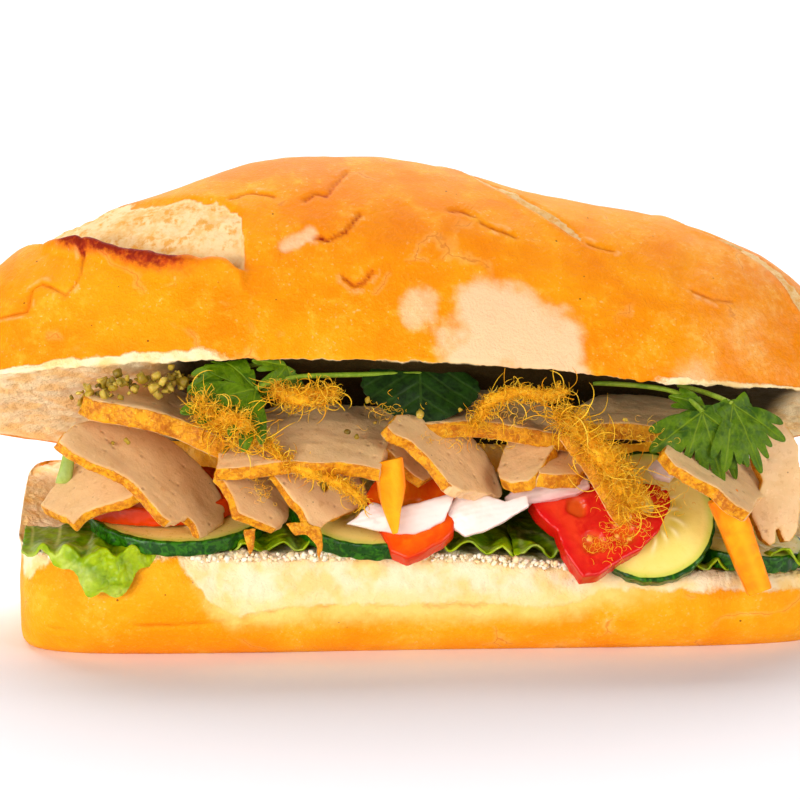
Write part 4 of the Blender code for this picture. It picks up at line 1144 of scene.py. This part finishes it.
def pork_slice(name, at, turn, thickness, torn_side, corners, seed):
    def shape(own, facing):
        uneven = 0.14 * grain(own, 2.4, seed) + 0.06 * grain(own, 0.9, seed + 9)
        rim = ease(0.78, 0.46, np.abs(facing[:, 2]) + uneven)
        torn = np.zeros(len(own))
        if torn_side == "skin":
            rim = np.ones(len(own))
        elif torn_side is not None:
            aim = np.array((math.cos(math.radians(torn_side)), math.sin(math.radians(torn_side))))
            torn = ease(0.35, 0.75, facing[:, :2] @ aim + uneven) * ease(2, 7, own[:, :2] @ aim)
        # The pinholes are dented in, and also kept as a layer that the finish paints brown: painted shade in
        # the pinholes.
        pits = ease(0.16, 0.06, pores(own, 3.4, seed + 1)) * (1 - rim)
        dimples = ease(0.4, 0.1, pores(own, 1.6, seed + 2)) * rim
        lift = 0.35 * grain(own, 7, seed + 3) + 0.06 * grain(own, 1.5, seed + 4) * (1 - rim)
        lift += rim * (0.3 * grain(own, 1.8, seed + 5) - 0.25 * dimples) - 0.3 * pits
        lift += 0.7 * torn * grain(own, 2.6, seed + 8)
        lift += 0.06 * swell(own * (0.25, 1.6, 1), 2.0, seed + 6) * (1 - rim)
        sag = own[:, 0] ** 2 / 160 - 0.9 * grain(own * (1, 1, 0), 16, seed + 11)
        bowed = own.copy()
        bowed[:, 2] += 2.2 - thickness / 2 - sag
        edge = bell(np.abs(facing[:, 2]), 0.70, 0.16) * (1 - torn)
        shade = 0.5 + 0.5 * grain(own, 9, seed + 7)
        return bowed, lift, {"rim": rim * (1 - torn), "pit": pits, "edge": edge, "shade": shade}

    return evened(slab(name, corners, thickness, 0.45, seed + 80), 0.34, 3, laid_at(at, turn), shape)


def pork_roll_meat():
    finish = Finish("pork_roll_meat", 0.42, Specular_IOR_Level=0.22, Subsurface_Weight=0.25,
                    Subsurface_Scale=0.003, Subsurface_Radius=(1.0, 0.5, 0.3))
    fine = finish.speckle(0.7, 3)
    cloud = finish.speckle(5, 3, 0.6, 0.5)
    meat = finish.blend(finish.layer("shade") * 0.6 + cloud * 0.4, srgb(220, 172, 114), srgb(246, 208, 154))
    meat = finish.blend(fine.between(0.58, 0.75) * 0.4, meat, srgb(250, 216, 166))
    fleck = finish.cells(2.6).between(0.085, 0.04) * finish.speckle(8, 1).between(0.45, 0.55) * 0.7
    meat = finish.blend(finish.speckle(1.6, 4, 0.7).between(0.54, 0.68) * 0.4, meat, srgb(200, 144, 84))
    meat = finish.blend(fleck, meat, srgb(104, 66, 50))
    # Painted shade: the pinholes are blended half-way to brown.
    meat = finish.blend(finish.layer("pit").between(0.1, 0.8) * 0.5, meat, srgb(160, 104, 66))
    brown = (finish.speckle(2.6, 3, 0.6, 0.6) * 0.6 + fine * 0.4).between(0.38, 0.62)
    fried = finish.blend(brown, srgb(186, 104, 4), srgb(236, 164, 22))
    fried = finish.blend(finish.speckle(0.5, 2).between(0.58, 0.72) * 0.5, fried, srgb(250, 202, 74))
    meat = finish.blend(finish.layer("edge") * 0.5, meat, srgb(230, 158, 44))
    rim = (finish.layer("rim") + (fine - 0.5) * 0.3).between(0.35, 0.62)
    finish.put("Base Color", finish.blend(rim, meat, fried))
    finish.put("Roughness", 0.34 + rim * 0.16 + (fine - 0.5) * 0.15)
    finish.relief(fine * 0.5 + rim * finish.speckle(0.6, 3) * 1.5, 0.3, 0.6)
    return finish.material


pork_meat = pork_roll_meat()
for seed, (solid, at, turn, thickness, torn_side, corners) in enumerate(PORK):
    slice_of_pork = pork_slice("slice_" + solid, at, turn, thickness, torn_side, corners, 10 * seed)
    finished(slice_of_pork, pork_meat, "pork_roll", solid)
for seed, (name, at, turn, thickness, torn_side, corners) in enumerate(PORK_TIPS):
    finished(pork_slice(name, at, turn, thickness, torn_side, corners, 200 + seed), pork_meat, "pork_roll")


# ---------------------------------------------------------------------------------------------------------
# The pork floss: meat fried dry and pulled into fine golden threads. It lies over the slices in tufts, each a
# denser middle with hundreds of curled threads round it, and single threads have dropped onto the tomato.

# Name, solid, route through the tuft, thickness, how many threads.
FLOSS = (
    ("floss_tuft_left", "floss_left", ((-45, -40.5, 55.5), (-41, -42.5, 52.5), (-36.5, -43.5, 52),
                                       (-33, -44, 48)), 6.0, 760),
    ("floss_long_strand", "floss_strand",
     ((-31, -44, 48.5), (-28, -44.8, 44.4), (-21, -45.0, 41.2), (-14.5, -45.8, 39.0), (-10, -45.5, 34.5)),
     3.0, 480),
    ("floss_tuft_upper", "floss_upper", ((-29, -38.5, 58.6), (-25.5, -39.5, 56.4), (-20, -39.5, 56.8),
                                         (-16, -38.5, 57.8)), 4.4, 480),
    ("floss_tuft_middle", "floss_middle",
     ((13, -38.5, 50), (16, -39.5, 55.5), (22, -40, 57.6), (28, -39.5, 56.0), (33, -39, 57.5)), 3.4, 640),
    ("floss_tuft_right", "floss_right",
     ((31, -40.5, 52.5), (36.5, -43, 48), (41.5, -44.8, 42), (44.5, -45, 37), (46.5, -45, 33.5)), 6.4, 1000),
)

# Nothing loose stands further out to the front than this.
FRONT_MOST = -50.6

# Where single threads dropped: middle, spread in each direction, how many.
DROPPED_THREADS = (
    ((45.0, -44.6, 29.5), (6.0, 1.2, 3.5), 90),
    ((40.5, -43.8, 25.5), (4.5, 0.9, 3.0), 60),
    ((53.0, -43.0, 35.0), (5.0, 1.2, 4.0), 60),
    ((19.0, -40.5, 49.5), (6.5, 1.5, 4.0), 80),
    ((-32.0, -43.0, 38.5), (2.5, 0.8, 3.2), 45),
    ((47.0, -44.0, 48.5), (7.0, 1.5, 3.0), 60),
    ((8.0, -40.5, 48.0), (8.0, 1.5, 2.0), 50),
    ((-6.0, -38.5, 54.0), (7.0, 1.5, 2.0), 35),
)


def threads(rng, starts, ways, lengths, curl, thickness, steps, sides=3):
    """Vertices and faces of many curled threads, each a thin tube that tapers to both its ends."""
    count = len(starts)
    ways = ways / np.linalg.norm(ways, axis=1, keepdims=True)
    points = np.empty((count, steps, 3))
    points[:, 0] = starts
    spin_axis = rng.normal(size=(count, 3))
    for step in range(1, steps):
        spin_axis += 0.5 * rng.normal(size=(count, 3))
        axis = spin_axis / np.linalg.norm(spin_axis, axis=1, keepdims=True)
        ways = ways + curl * np.cross(axis, ways)
        ways /= np.linalg.norm(ways, axis=1, keepdims=True)
        points[:, step] = points[:, step - 1] + ways * (lengths / (steps - 1))[:, None]
    along = np.gradient(points, axis=1)
    along /= np.linalg.norm(along, axis=2, keepdims=True) + 1e-9
    side = np.cross(along, np.array([0.31, 0.87, 0.38]))
    side /= np.linalg.norm(side, axis=2, keepdims=True) + 1e-9
    up = np.cross(along, side)
    share = np.linspace(-1, 1, steps)
    radius = thickness[:, None] / 2 * (1 - 0.75 * np.abs(share) ** 3)
    turn = np.arange(sides) * 2 * np.pi / sides
    ring = np.cos(turn)[:, None] * side[:, :, None] + np.sin(turn)[:, None] * up[:, :, None]
    corners = (points[:, :, None] + ring * radius[:, :, None, None]).reshape(-1, 3)
    base = np.arange(count)[:, None, None] * steps * sides
    i = np.arange(steps - 1)[None, :, None] * sides
    j = np.arange(sides)[None, None, :]
    k = (j + 1) % sides
    quads = np.stack([i + j, i + k, i + sides + k, i + sides + j], 3)
    quads = (base[..., None] + quads).reshape(-1, 4)
    caps = np.concatenate([
        (base[:, 0] + np.arange(sides)[::-1][None, :]),
        (base[:, 0] + (steps - 1) * sides + np.arange(sides)[None, :]),
    ])
    tone = np.repeat(rng.random(count), steps * sides)
    return corners, quads.tolist() + caps.tolist(), tone


def joined(name, batches):
    """One mesh of several lots of vertices and faces, with a tone from 0 to 1 kept on each vertex."""
    corners, faces, tones, start = [], [], [], 0
    for points, polygons, tone in batches:
        corners.append(points)
        tones.append(tone)
        faces += [[index + start for index in polygon] for polygon in polygons]
        start += len(points)
    corners = np.vstack(corners)
    corners[:, 1] = np.maximum(corners[:, 1], FRONT_MOST)
    corners += LOAF_MIDDLE
    return meshed(name, corners, faces, {"tone": np.concatenate(tones)})


def along_route(route, share):
    """Places and directions at shares from 0 to 1 of a route of points, rounded at its corners."""
    route = np.array(route, float)
    knots = np.linspace(0, 1, len(route))
    near = []
    for step in (-0.06, 0, 0.06):
        spot = np.clip(share + step, 0, 1)
        near.append(np.column_stack([np.interp(spot, knots, route[:, k]) for k in range(3)]))
    return sum(near) / 3, near[2] - near[0]


def floss_core(route, thickness, seed):
    """The dense middle of a tuft: an uneven matted rope along the route, closed at both ends, toned darker as
    painted shade.
    """
    share = np.linspace(0, 1, 60)
    middle, way = along_route(route, share)
    way /= np.linalg.norm(way, axis=1, keepdims=True)
    side = np.cross(way, (0.2, 0.9, 0.3))
    side /= np.linalg.norm(side, axis=1, keepdims=True)
    up = np.cross(way, side)
    turn = np.linspace(0, 2 * np.pi, 37)[:-1]
    size = 0.33 * thickness * np.maximum(0.05, np.sin(np.pi * np.clip(share, 0.01, 0.99)) ** 0.4)
    ring = np.cos(turn)[None, :, None] * side[:, None] + np.sin(turn)[None, :, None] * up[:, None]
    points = middle[:, None] + ring * size[:, None, None]
    flat = points.reshape(-1, 3)
    uneven = 0.55 * grain(flat, 3.2, seed) + 0.35 * grain(flat, 1.2, seed + 1)
    flat = flat + ring.reshape(-1, 3) * (uneven * np.repeat(size, 36))[:, None]
    i, j = np.meshgrid(np.arange(59), np.arange(36), indexing="ij")
    k = (j + 1) % 36
    quads = np.stack([i * 36 + j, i * 36 + k, (i + 1) * 36 + k, (i + 1) * 36 + j], 2).reshape(-1, 4).tolist()
    caps = [list(range(35, -1, -1)), list(range(59 * 36, 60 * 36))]
    # Painted shade: the rope's tone is kept low, and lower where it is pushed in, so the thread finish shows it
    # darker.
    return flat, quads + caps, np.clip(0.35 + 0.4 * uneven, 0, 1)


def floss_tuft(name, route, thickness, count, seed):
    rng = np.random.default_rng(seed)
    count = round(1.75 * count)
    share = np.clip(rng.beta(1.2, 1.2, count) - 0.03, 0, 1)
    middle, way = along_route(route, share)
    away = rng.normal(size=(count, 3))
    away /= np.linalg.norm(away, axis=1, keepdims=True)
    room = 0.36 * thickness * (0.55 + 0.45 * np.sin(np.pi * share))
    room *= np.maximum(0.15, 0.65 + 0.9 * swell(middle, 3.2, seed + 2))
    starts = middle + away * (room * rng.random(count) ** 0.4)[:, None]
    way /= np.linalg.norm(way, axis=1, keepdims=True)
    ways = way * rng.choice([-1, 1], count)[:, None] * 1.1 + 0.7 * rng.normal(size=(count, 3)) + 0.25 * away
    long = rng.uniform(0.45, 1.15, count) * thickness
    starts = starts - ways / np.linalg.norm(ways, axis=1, keepdims=True) * (long * 0.35)[:, None]
    lot = threads(rng, starts, ways, long, 0.55, rng.uniform(0.09, 0.22, count), 9)
    few = count // 14
    middle, way = along_route(route, rng.random(few))
    way /= np.linalg.norm(way, axis=1, keepdims=True)
    ways = way * rng.choice([-1, 1], few)[:, None] + 0.6 * rng.normal(size=(few, 3))
    starts = middle + 0.2 * thickness * rng.normal(size=(few, 3))
    long = rng.uniform(1.0, 2.3, few) * thickness
    strands = threads(rng, starts, ways, long, 0.26, rng.uniform(0.16, 0.30, few), 14)
    fuzz = count // 6
    share = rng.random(fuzz)
    middle, way = along_route(route, share)
    away = rng.normal(size=(fuzz, 3))
    away /= np.linalg.norm(away, axis=1, keepdims=True)
    ways = away + 0.9 * rng.normal(size=(fuzz, 3))
    long = rng.uniform(0.15, 0.45, fuzz) * thickness
    starts = middle + away * 0.38 * thickness
    fine = threads(rng, starts, ways, long, 0.65, rng.uniform(0.07, 0.12, fuzz), 7)
    return joined(name, [floss_core(route, thickness, seed + 3), lot, strands, fine])


def dropped_threads():
    rng = np.random.default_rng(77)
    lots = []
    for middle, spread, count in DROPPED_THREADS:
        starts = np.array(middle) + rng.normal(size=(count, 3)) * np.array(spread) * 0.5
        ways = rng.normal(size=(count, 3)) * (1.0, 0.25, 1.0)
        long = rng.uniform(0.8, 4.4, count)
        lots.append(threads(rng, starts, ways, long, 0.6, rng.uniform(0.07, 0.16, count), 10))
    return joined("floss_dropped_threads", lots)


def fried_threads():
    finish = Finish("fried_threads", 0.55, Specular_IOR_Level=0.15, Subsurface_Weight=0.2,
                    Subsurface_Scale=0.001, Subsurface_Radius=(1.0, 0.5, 0.1))
    fine = finish.speckle(0.9, 3)
    tone = finish.layer("tone") * 0.6 + fine * 0.4
    colour = finish.blend(tone.between(0.15, 0.60), srgb(232, 142, 4), srgb(254, 190, 34))
    colour = finish.blend(tone.between(0.60, 0.85) * 0.8, colour, srgb(255, 212, 76))
    finish.put("Base Color", colour)
    finish.put("Roughness", 0.4 + fine * 0.25)
    finish.relief(finish.speckle(0.35, 2), 0.15, 0.6)
    return finish.material


golden_threads = fried_threads()
for seed, (name, solid, route, thickness, count) in enumerate(FLOSS):
    finished(floss_tuft(name, route, thickness, count, seed), golden_threads, "floss", solid)
finished(dropped_threads(), golden_threads, "floss")


# ---------------------------------------------------------------------------------------------------------
# The coriander: sprigs laid under the upper half, their leaflets hanging out. A leaflet is one thin blade cut
# into rounded teeth, with a vein to each lobe, on a thin juicy stalk.

# Name, solid, stalk end, tip of the middle lobe, the way it faces, share of width, lobes (angle, size and
# half width in degrees), seed.
FAN = ((-62, 0.84, 31), (0, 1.0, 29), (62, 0.84, 31))
CORIANDER = (
    ("coriander_left_front", "cilantro_left", (-33.0, -39.5, 58.6), (-48.0, -43.0, 56.0), (0.1, -0.75, 0.66),
     1.0, FAN, 1),
    ("coriander_left_back", None, (-37.0, -35.0, 62.6), (-46.5, -38.5, 60.2), (0.0, -0.8, 0.6), 0.9, FAN, 2),
    ("coriander_left_middle", None, (-26.5, -36.0, 62.8), (-31.5, -40.0, 57.2), (0.2, -0.9, 0.3), 0.9, FAN, 3),
    ("coriander_right", "cilantro_right", (61.0, -41.5, 53.0), (65.0, -45.0, 38.5), (-0.1, -0.95, 0.25), 0.88,
     ((-70, 0.92, 30), (-36, 0.74, 22), (0, 1.0, 27), (38, 0.66, 22)), 4),
    ("coriander_far_right", "cilantro_far_right", (67.5, -41.0, 54.5), (75.5, -44.5, 42.0),
     (0.2, -0.95, 0.15), 0.86,
     ((-42, 0.95, 26), (-8, 1.0, 22), (28, 0.9, 26)), 5),
    ("coriander_right_behind", None, (64.0, -40.5, 54.0), (68.6, -42.5, 39.0), (0.0, -1.0, 0.1), 0.6, FAN, 6),
    ("coriander_right_top", None, (62.0, -38.5, 53.5), (54.0, -42.0, 48.5), (0.0, -0.85, 0.4), 0.8, FAN, 7),
)


def hung_at(base, tip, facing):
    """A frame whose -Y runs from a stalk's end to a leaf's tip, and whose Z is the way the leaf faces."""
    base, tip, facing = Vector(base), Vector(tip), Vector(facing)
    down = (tip - base).normalized()
    face = (facing - down * facing.dot(down)).normalized()
    frame_of = Matrix((face.cross(down), -down, face)).transposed()
    if frame_of.determinant() < 0:
        frame_of = Matrix((-face.cross(down), -down, face)).transposed()
    spot = base + Vector(LOAF_MIDDLE)
    return Matrix.Translation(spot) @ frame_of.to_4x4(), (tip - base).length


def coriander_leaflet(name, base, tip, faces_to, wide, lobes, seed):
    """A fan of lobes drawn out from the stalk's end, along the frame's own -Y, cupped and a little wavy."""
    place, length = hung_at(base, tip, faces_to)
    columns, rows = 300, 30
    degrees = np.linspace(-112, 112, columns)[:, None]
    reach = np.full(degrees.shape, 0.24)
    vein = np.full(degrees.shape, 99.0)
    for aim, size, half in lobes:
        off = (degrees - aim) / half
        lobe = np.maximum(0, 1 - np.abs(off) ** 2.0) ** 0.42
        teeth = 1 - 0.42 * (1 - np.abs(np.cos(np.pi * off * 1.6)) ** 0.7) * ease(1.0, 0.8, np.abs(off))
        cut = size * (0.16 + 0.84 * lobe * teeth)
        reach = np.where(np.abs(off) < 1, np.maximum(reach, cut), reach)
        vein = np.minimum(vein, np.abs(degrees - aim))
    reach = reach * ease(-112, -100, degrees) * ease(112, 100, degrees) + 0.04
    share = np.linspace(0.0, 1.0, rows)[None, :] ** 0.8
    angle = np.radians(degrees)
    x = length * wide * reach * share * np.sin(angle) * 1.05
    y = -length * reach * share * np.cos(angle)
    flat = np.stack([x, y, 0 * x], 2).reshape(-1, 3)
    out = np.hypot(flat[:, 0], flat[:, 1]) / length
    fold = np.minimum(vein, 30).repeat(rows, 1).ravel() / 30
    flat[:, 2] = 0.9 * grain(flat + (0, 0, 9.0 * seed), 6, seed) - 2.6 * out**2
    flat[:, 2] += 0.9 * fold * out * ease(0, 0.4, out)
    flat[:, 2] += 0.25 * grain(flat + (0, 0, 9.0 * seed), 1.8, seed + 1) * out
    spread = (vein * np.pi / 180 * (out.reshape(columns, rows)) * length).ravel()
    side_vein = np.abs(((out * 5.5 + fold * 1.6) % 1) - 0.5) * 2
    lines = np.maximum(ease(0.30, 0.05, spread), 0.5 * ease(0.22, 0.0, side_vein) * ease(0.08, 0.2, out))
    layers = {"vein": lines, "tip": ease(0.4, 1.0, np.tile(share, (columns, 1)))}
    leaf = meshed(name, placed(flat, place), blade_faces(columns, rows).tolist(), layers)
    select_only(leaf)
    bpy.ops.object.mode_set(mode="EDIT")
    bpy.ops.mesh.select_all(action="SELECT")
    bpy.ops.mesh.remove_doubles(threshold=0.01 * MM)
    bpy.ops.mesh.normals_make_consistent(inside=False)
    bpy.ops.object.mode_set(mode="OBJECT")
    leaf.select_set(False)
    return thickened(leaf, 0.28)


def stalk(name, points, thickness):
    """A round juicy stalk on a smooth line through a few points."""
    curve = bpy.data.curves.new(name, "CURVE")
    curve.dimensions = "3D"
    curve.bevel_depth = thickness / 2 * MM
    curve.bevel_resolution = 3
    curve.use_fill_caps = True
    spline = curve.splines.new("NURBS")
    spline.points.add(len(points) - 1)
    for knot, point in zip(spline.points, points):
        knot.co = (*((Vector(point) + Vector(LOAF_MIDDLE)) * MM), 1.0)
    spline.use_endpoint_u = True
    spline.order_u = 3
    spline.resolution_u = 8
    bend = bpy.data.objects.new(name, curve)
    bpy.context.scene.collection.objects.link(bend)
    select_only(bend)
    bpy.ops.object.convert(target="MESH")
    bend.select_set(False)
    bend.data.shade_smooth()
    return bend


def herb_green(name, deep, bright, pale):
    finish = Finish(name, 0.42, Specular_IOR_Level=0.16, Subsurface_Weight=0.15,
                    Subsurface_Scale=0.001, Subsurface_Radius=(0.5, 1.0, 0.1))
    cloud = finish.speckle(4, 3, 0.6, 0.5)
    fine = finish.speckle(0.7, 3)
    colour = finish.blend((cloud * 0.7 + fine * 0.3).between(0.36, 0.62), deep, bright)
    colour = finish.blend(finish.layer("vein") * 0.5, colour, pale)
    finish.put("Base Color", finish.blend(finish.layer("tip") * 0.3, colour, bright))
    finish.put("Roughness", 0.32 + fine * 0.25)
    finish.relief(fine * 0.5 + cloud * 0.6 - finish.layer("vein") * 0.8, 0.2, 0.6)
    return finish.material


coriander_green = herb_green("coriander_green", srgb(40, 74, 0), srgb(88, 118, 0), srgb(128, 150, 22))
coriander_stem = herb_green("coriander_stem", srgb(110, 140, 30), srgb(150, 170, 50), srgb(180, 196, 90))
for name, solid, base, tip, faces_to, wide, lobes, seed in CORIANDER:
    leaflet = coriander_leaflet(name, base, tip, faces_to, wide, lobes, seed)
    finished(leaflet, coriander_green, "herb", *([solid] if solid else []))
for number, points in enumerate((
    ((-33.0, -39.5, 58.6), (-28, -37, 60.6), (-14, -34, 60.6), (4, -30, 60)),
    ((-37.0, -35.0, 62.6), (-30, -31, 63.0), (-20, -28, 62.4)),
    ((61.0, -41.5, 53.0), (59, -37, 55.6), (52, -30, 57.0), (40, -26, 57)),
    ((67.5, -41.0, 54.5), (64, -35, 56.0), (58, -29, 56.8)),
)):
    finished(stalk(f"coriander_stalk_{number + 1}", points, 1.1), coriander_stem, "herb")


# ---------------------------------------------------------------------------------------------------------
# The broad leaf in the middle: one smooth herb leaf, mostly in the shade of the upper half, and painted in
# near-black greens as painted shade.

def broad_leaf():
    columns, rows = 90, 60
    u, v = np.meshgrid(np.linspace(-1, 1, columns), np.linspace(0, 1, rows), indexing="ij")
    half = 12.5 * np.sin(np.pi * np.clip(v, 0.01, 1) ** 0.85) ** 0.62
    teeth = 1 + 0.035 * np.abs(np.sin(v * 24))
    flat = np.stack([u * half * teeth, -14.5 * v, 0 * u], 2).reshape(-1, 3)
    flat[:, 2] = 0.06 * np.abs(flat[:, 0]) - 0.012 * flat[:, 1] ** 2 + 0.6 * grain(flat, 6, 301)
    middle_line = ease(0.35, 0.05, np.abs(flat[:, 0]))
    ribs = ease(0.16, 0.02, np.abs(((flat[:, 1] * 0.30 + np.abs(flat[:, 0]) * 0.22) % 1) - 0.5))
    points = placed(flat, laid_at((2, -29, 62.5), (50, 4, 5)))
    layers = {"vein": np.maximum(middle_line, 0.6 * ribs)}
    return thickened(meshed("herb_broad_leaf", points, blade_faces(columns, rows).tolist(), layers), 0.3)


# Painted shade: the same herb finish as the coriander, in near-black greens for the shade the leaf lies in.
shaded_green = herb_green("herb_green_painted_shade", srgb(14, 32, 4), srgb(30, 58, 8), srgb(60, 86, 24))
finished(broad_leaf(), shaded_green, "herb", "leaf_middle")


# ---------------------------------------------------------------------------------------------------------
# The chopped scallion and shallot: small wet pieces in oil, in a line under the upper half at the left, with
# a few more dropped along the slices.

MINCE_BITS = 110
MINCE_ROUTE = ((-70, -32, 54), (-66, -35, 58), (-60, -36, 59.6), (-52, -34, 59.4), (-46, -33, 58.5))


def round_bit(subdivisions):
    """The vertices and faces that every bit starts from."""
    bpy.ops.object.select_all(action="DESELECT")
    bpy.ops.mesh.primitive_ico_sphere_add(subdivisions=subdivisions, radius=1.0)
    pattern = bpy.context.object
    form = np.array([vert.co for vert in pattern.data.vertices])
    faces = [list(face.vertices) for face in pattern.data.polygons]
    bpy.data.objects.remove(pattern)
    return form, faces


def chopped_bits(name, places, sizes, seed):
    """Small cut pieces: rounded blocks of a few dozen faces, each turned and squashed its own way."""
    rng = np.random.default_rng(seed)
    form, faces = round_bit(2)
    form = np.sign(form) * np.abs(form) ** 0.7 * 0.9
    lots = []
    for place, size in zip(places, sizes):
        spin = np.array(Euler(rng.uniform(0, 6.28, 3)).to_matrix())
        dents = 1 + 0.35 * swell(form * 2.2 + rng.uniform(0, 50), 1.3, seed)
        shape = form * dents[:, None] * rng.uniform(0.35, 1.0, 3) * size
        lots.append((shape @ spin.T + place, faces, np.full(len(form), rng.random())))
    return joined(name, lots)


def bits_finish(name, *stops):
    finish = Finish(name, 0.45, Specular_IOR_Level=0.3, Subsurface_Weight=0.2, Subsurface_Scale=0.001)
    fine = finish.speckle(0.8, 2)
    finish.put("Base Color", finish.ramp(finish.layer("tone") * 0.85 + fine * 0.15, *stops))
    finish.put("Roughness", 0.25 + fine * 0.3)
    finish.relief(fine, 0.15, 0.6)
    return finish.material


rng = np.random.default_rng(5)
places, _ = along_route(MINCE_ROUTE, rng.random(MINCE_BITS))
places += rng.normal(size=places.shape) * (1.6, 1.3, 1.2)
scallion = chopped_bits("chopped_scallion", places, rng.uniform(0.5, 1.6, MINCE_BITS), 6)
scallion_tones = (
    (0.0, srgb(92, 40, 30)),
    (0.12, srgb(112, 88, 10)),
    (0.4, srgb(166, 136, 30)),
    (0.75, srgb(206, 176, 70)),
    (1.0, srgb(132, 112, 10)),
)
finished(scallion, bits_finish("scallion_bits", *scallion_tones), "scallion", "scallion_mince")
LOOSE_BITS = ((-63, -37, 47), (-60, -38, 47.5), (-39.5, -41.5, 46), (-12, -41.5, 48.5), (-14, -41, 49.5),
              (-8, -39, 51), (-46, -39.5, 56), (10, -38.5, 53.5), (45, -39, 51), (54, -39, 50),
              (-9.5, -37, 55.5),
              (1.5, -38, 52.5))
sizes = rng.uniform(0.5, 1.2, len(LOOSE_BITS))
loose = chopped_bits("scallion_dropped", np.array(LOOSE_BITS, float), sizes, 8)
finished(loose, bits_finish("scallion_bits_loose", *scallion_tones), "scallion")


# ---------------------------------------------------------------------------------------------------------
# The crumbs: bits of white crumb that the knife and the hands tore loose, lying along the front rim of the
# lower half.

END_CRUMBS = 60
ALL_CRUMBS = 520


def crumbs():
    rng = np.random.default_rng(12)
    form, faces = round_bit(1)
    lots = []
    for number in range(ALL_CRUMBS):
        x = rng.uniform(-82, -70) if number < END_CRUMBS else rng.uniform(-49, 42)
        y = -LOWER_DEPTH * float(fullness(end_share(x), 6.0)) + rng.uniform(-0.5, 0.7)
        z = float(lower_rim(np.array(x), np.array(y))) + TORN_RIM * rng.uniform(0.0, 0.75)
        size = rng.uniform(0.35, 1.0)
        spin = np.array(Euler(rng.uniform(0, 6.28, 3)).to_matrix())
        shape = form * rng.uniform(0.6, 1.25, (len(form), 1)) * rng.uniform(0.5, 1.0, 3) * size
        lots.append((shape @ spin.T + (x, y, z), faces, np.full(len(form), rng.random())))
    return joined("crumbs", lots)


crumb_tones = ((0.0, srgb(250, 214, 150)), (0.4, srgb(254, 234, 200)), (1.0, srgb(255, 246, 228)))
finished(crumbs(), bits_finish("crumb_bits", *crumb_tones), "crust")


# ---------------------------------------------------------------------------------------------------------
# The setting: a white sheet that sweeps up behind, lit by a lamp of its own, and broad soft light from above,
# from both sides of the front and low from the left.

def white_sweep():
    bpy.ops.mesh.primitive_plane_add(size=1.0, location=(0, -1.2, 0))
    floor = bpy.context.object
    floor.name = "floor"
    floor.scale = (9.0, 4.0, 1.0)
    bpy.ops.object.transform_apply(location=True, scale=True)
    bpy.ops.object.mode_set(mode="EDIT")
    bpy.ops.mesh.select_all(action="DESELECT")
    bpy.ops.object.mode_set(mode="OBJECT")
    back_edge = max(vert.co.y for vert in floor.data.vertices)
    for edge in floor.data.edges:
        edge.select = all(floor.data.vertices[i].co.y > back_edge - 0.01 for i in edge.vertices)
    bpy.ops.object.mode_set(mode="EDIT")
    bpy.ops.mesh.select_mode(type="EDGE")
    for rise, run in ((0.03, 0.25), (0.12, 0.22), (0.22, 0.14), (0.3, 0.06), (2.5, 0.02)):
        bpy.ops.mesh.extrude_region_move(TRANSFORM_OT_translate={"value": (0, run, rise)})
    bpy.ops.object.mode_set(mode="OBJECT")
    bpy.ops.object.shade_smooth()
    finish = Finish("floor_white", 0.75, Specular_IOR_Level=0.15)
    finish.put("Base Color", (0.945, 0.91, 0.928))
    floor.data.materials.append(finish.material)
    floor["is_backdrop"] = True


def soft_light(name, place, aim, size, power, colour):
    lamp = bpy.data.lights.new(name, "AREA")
    lamp.shape = "RECTANGLE"
    lamp.size, lamp.size_y = size
    lamp.energy = power
    lamp.color = colour
    holder = bpy.data.objects.new(name, lamp)
    bpy.context.scene.collection.objects.link(holder)
    holder.location = place
    holder.rotation_euler = (Vector(aim) - Vector(place)).to_track_quat("-Z", "Y").to_euler()


white_sweep()
soft_light("overhead", (-0.06, 0.38, 0.64), (0, 0, 0.05), (0.8, 0.45), 5.2, (1.0, 0.99, 0.98))
soft_light("front_left", (-0.50, -0.80, 0.30), (0, 0, 0.05), (0.5, 0.4), 4.0, (1.0, 0.99, 0.98))
soft_light("front_right", (0.60, -0.62, 0.24), (0, 0, 0.05), (0.5, 0.4), 3.7, (1.0, 0.98, 0.97))
soft_light("left", (-0.62, -0.42, 0.09), (-0.08, 0, 0.06), (0.4, 0.14), 2.4, (1.0, 0.99, 0.98))
soft_light("on_the_sweep", (0, 1.0, 1.3), (0, 2.2, 0.4), (2.4, 0.8), 26.0, (1.0, 0.98, 0.985))

world = bpy.data.worlds.new("studio")
bpy.context.scene.world = world
world.use_nodes = True
room_light = world.node_tree.nodes["Background"].inputs
room_light["Color"].default_value = (1.0, 0.93, 0.93, 1.0)
room_light["Strength"].default_value = 0.15

view = bpy.data.cameras.new("camera")
view.lens = 124.3
view.sensor_width = 36.0
view.clip_start = 0.02
camera = bpy.data.objects.new("camera", view)
bpy.context.scene.collection.objects.link(camera)
aim = Vector((-0.0004, 0.0030, 0.0496))
distance = 0.62
turn, rise = math.radians(-4.0), math.radians(9.0)
back = Vector((math.sin(turn) * math.cos(rise), -math.cos(turn) * math.cos(rise), math.sin(rise)))
camera.location = aim + distance * back
camera.rotation_euler = (math.pi / 2 - rise, 0.0, turn)
bpy.context.scene.camera = camera
bpy.context.scene.view_settings.view_transform = "Standard"
bpy.context.scene.view_settings.look = "None"

sizes = {"cad": [list(corner) for corner in cad_box], "visual": [list(corner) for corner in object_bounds()]}
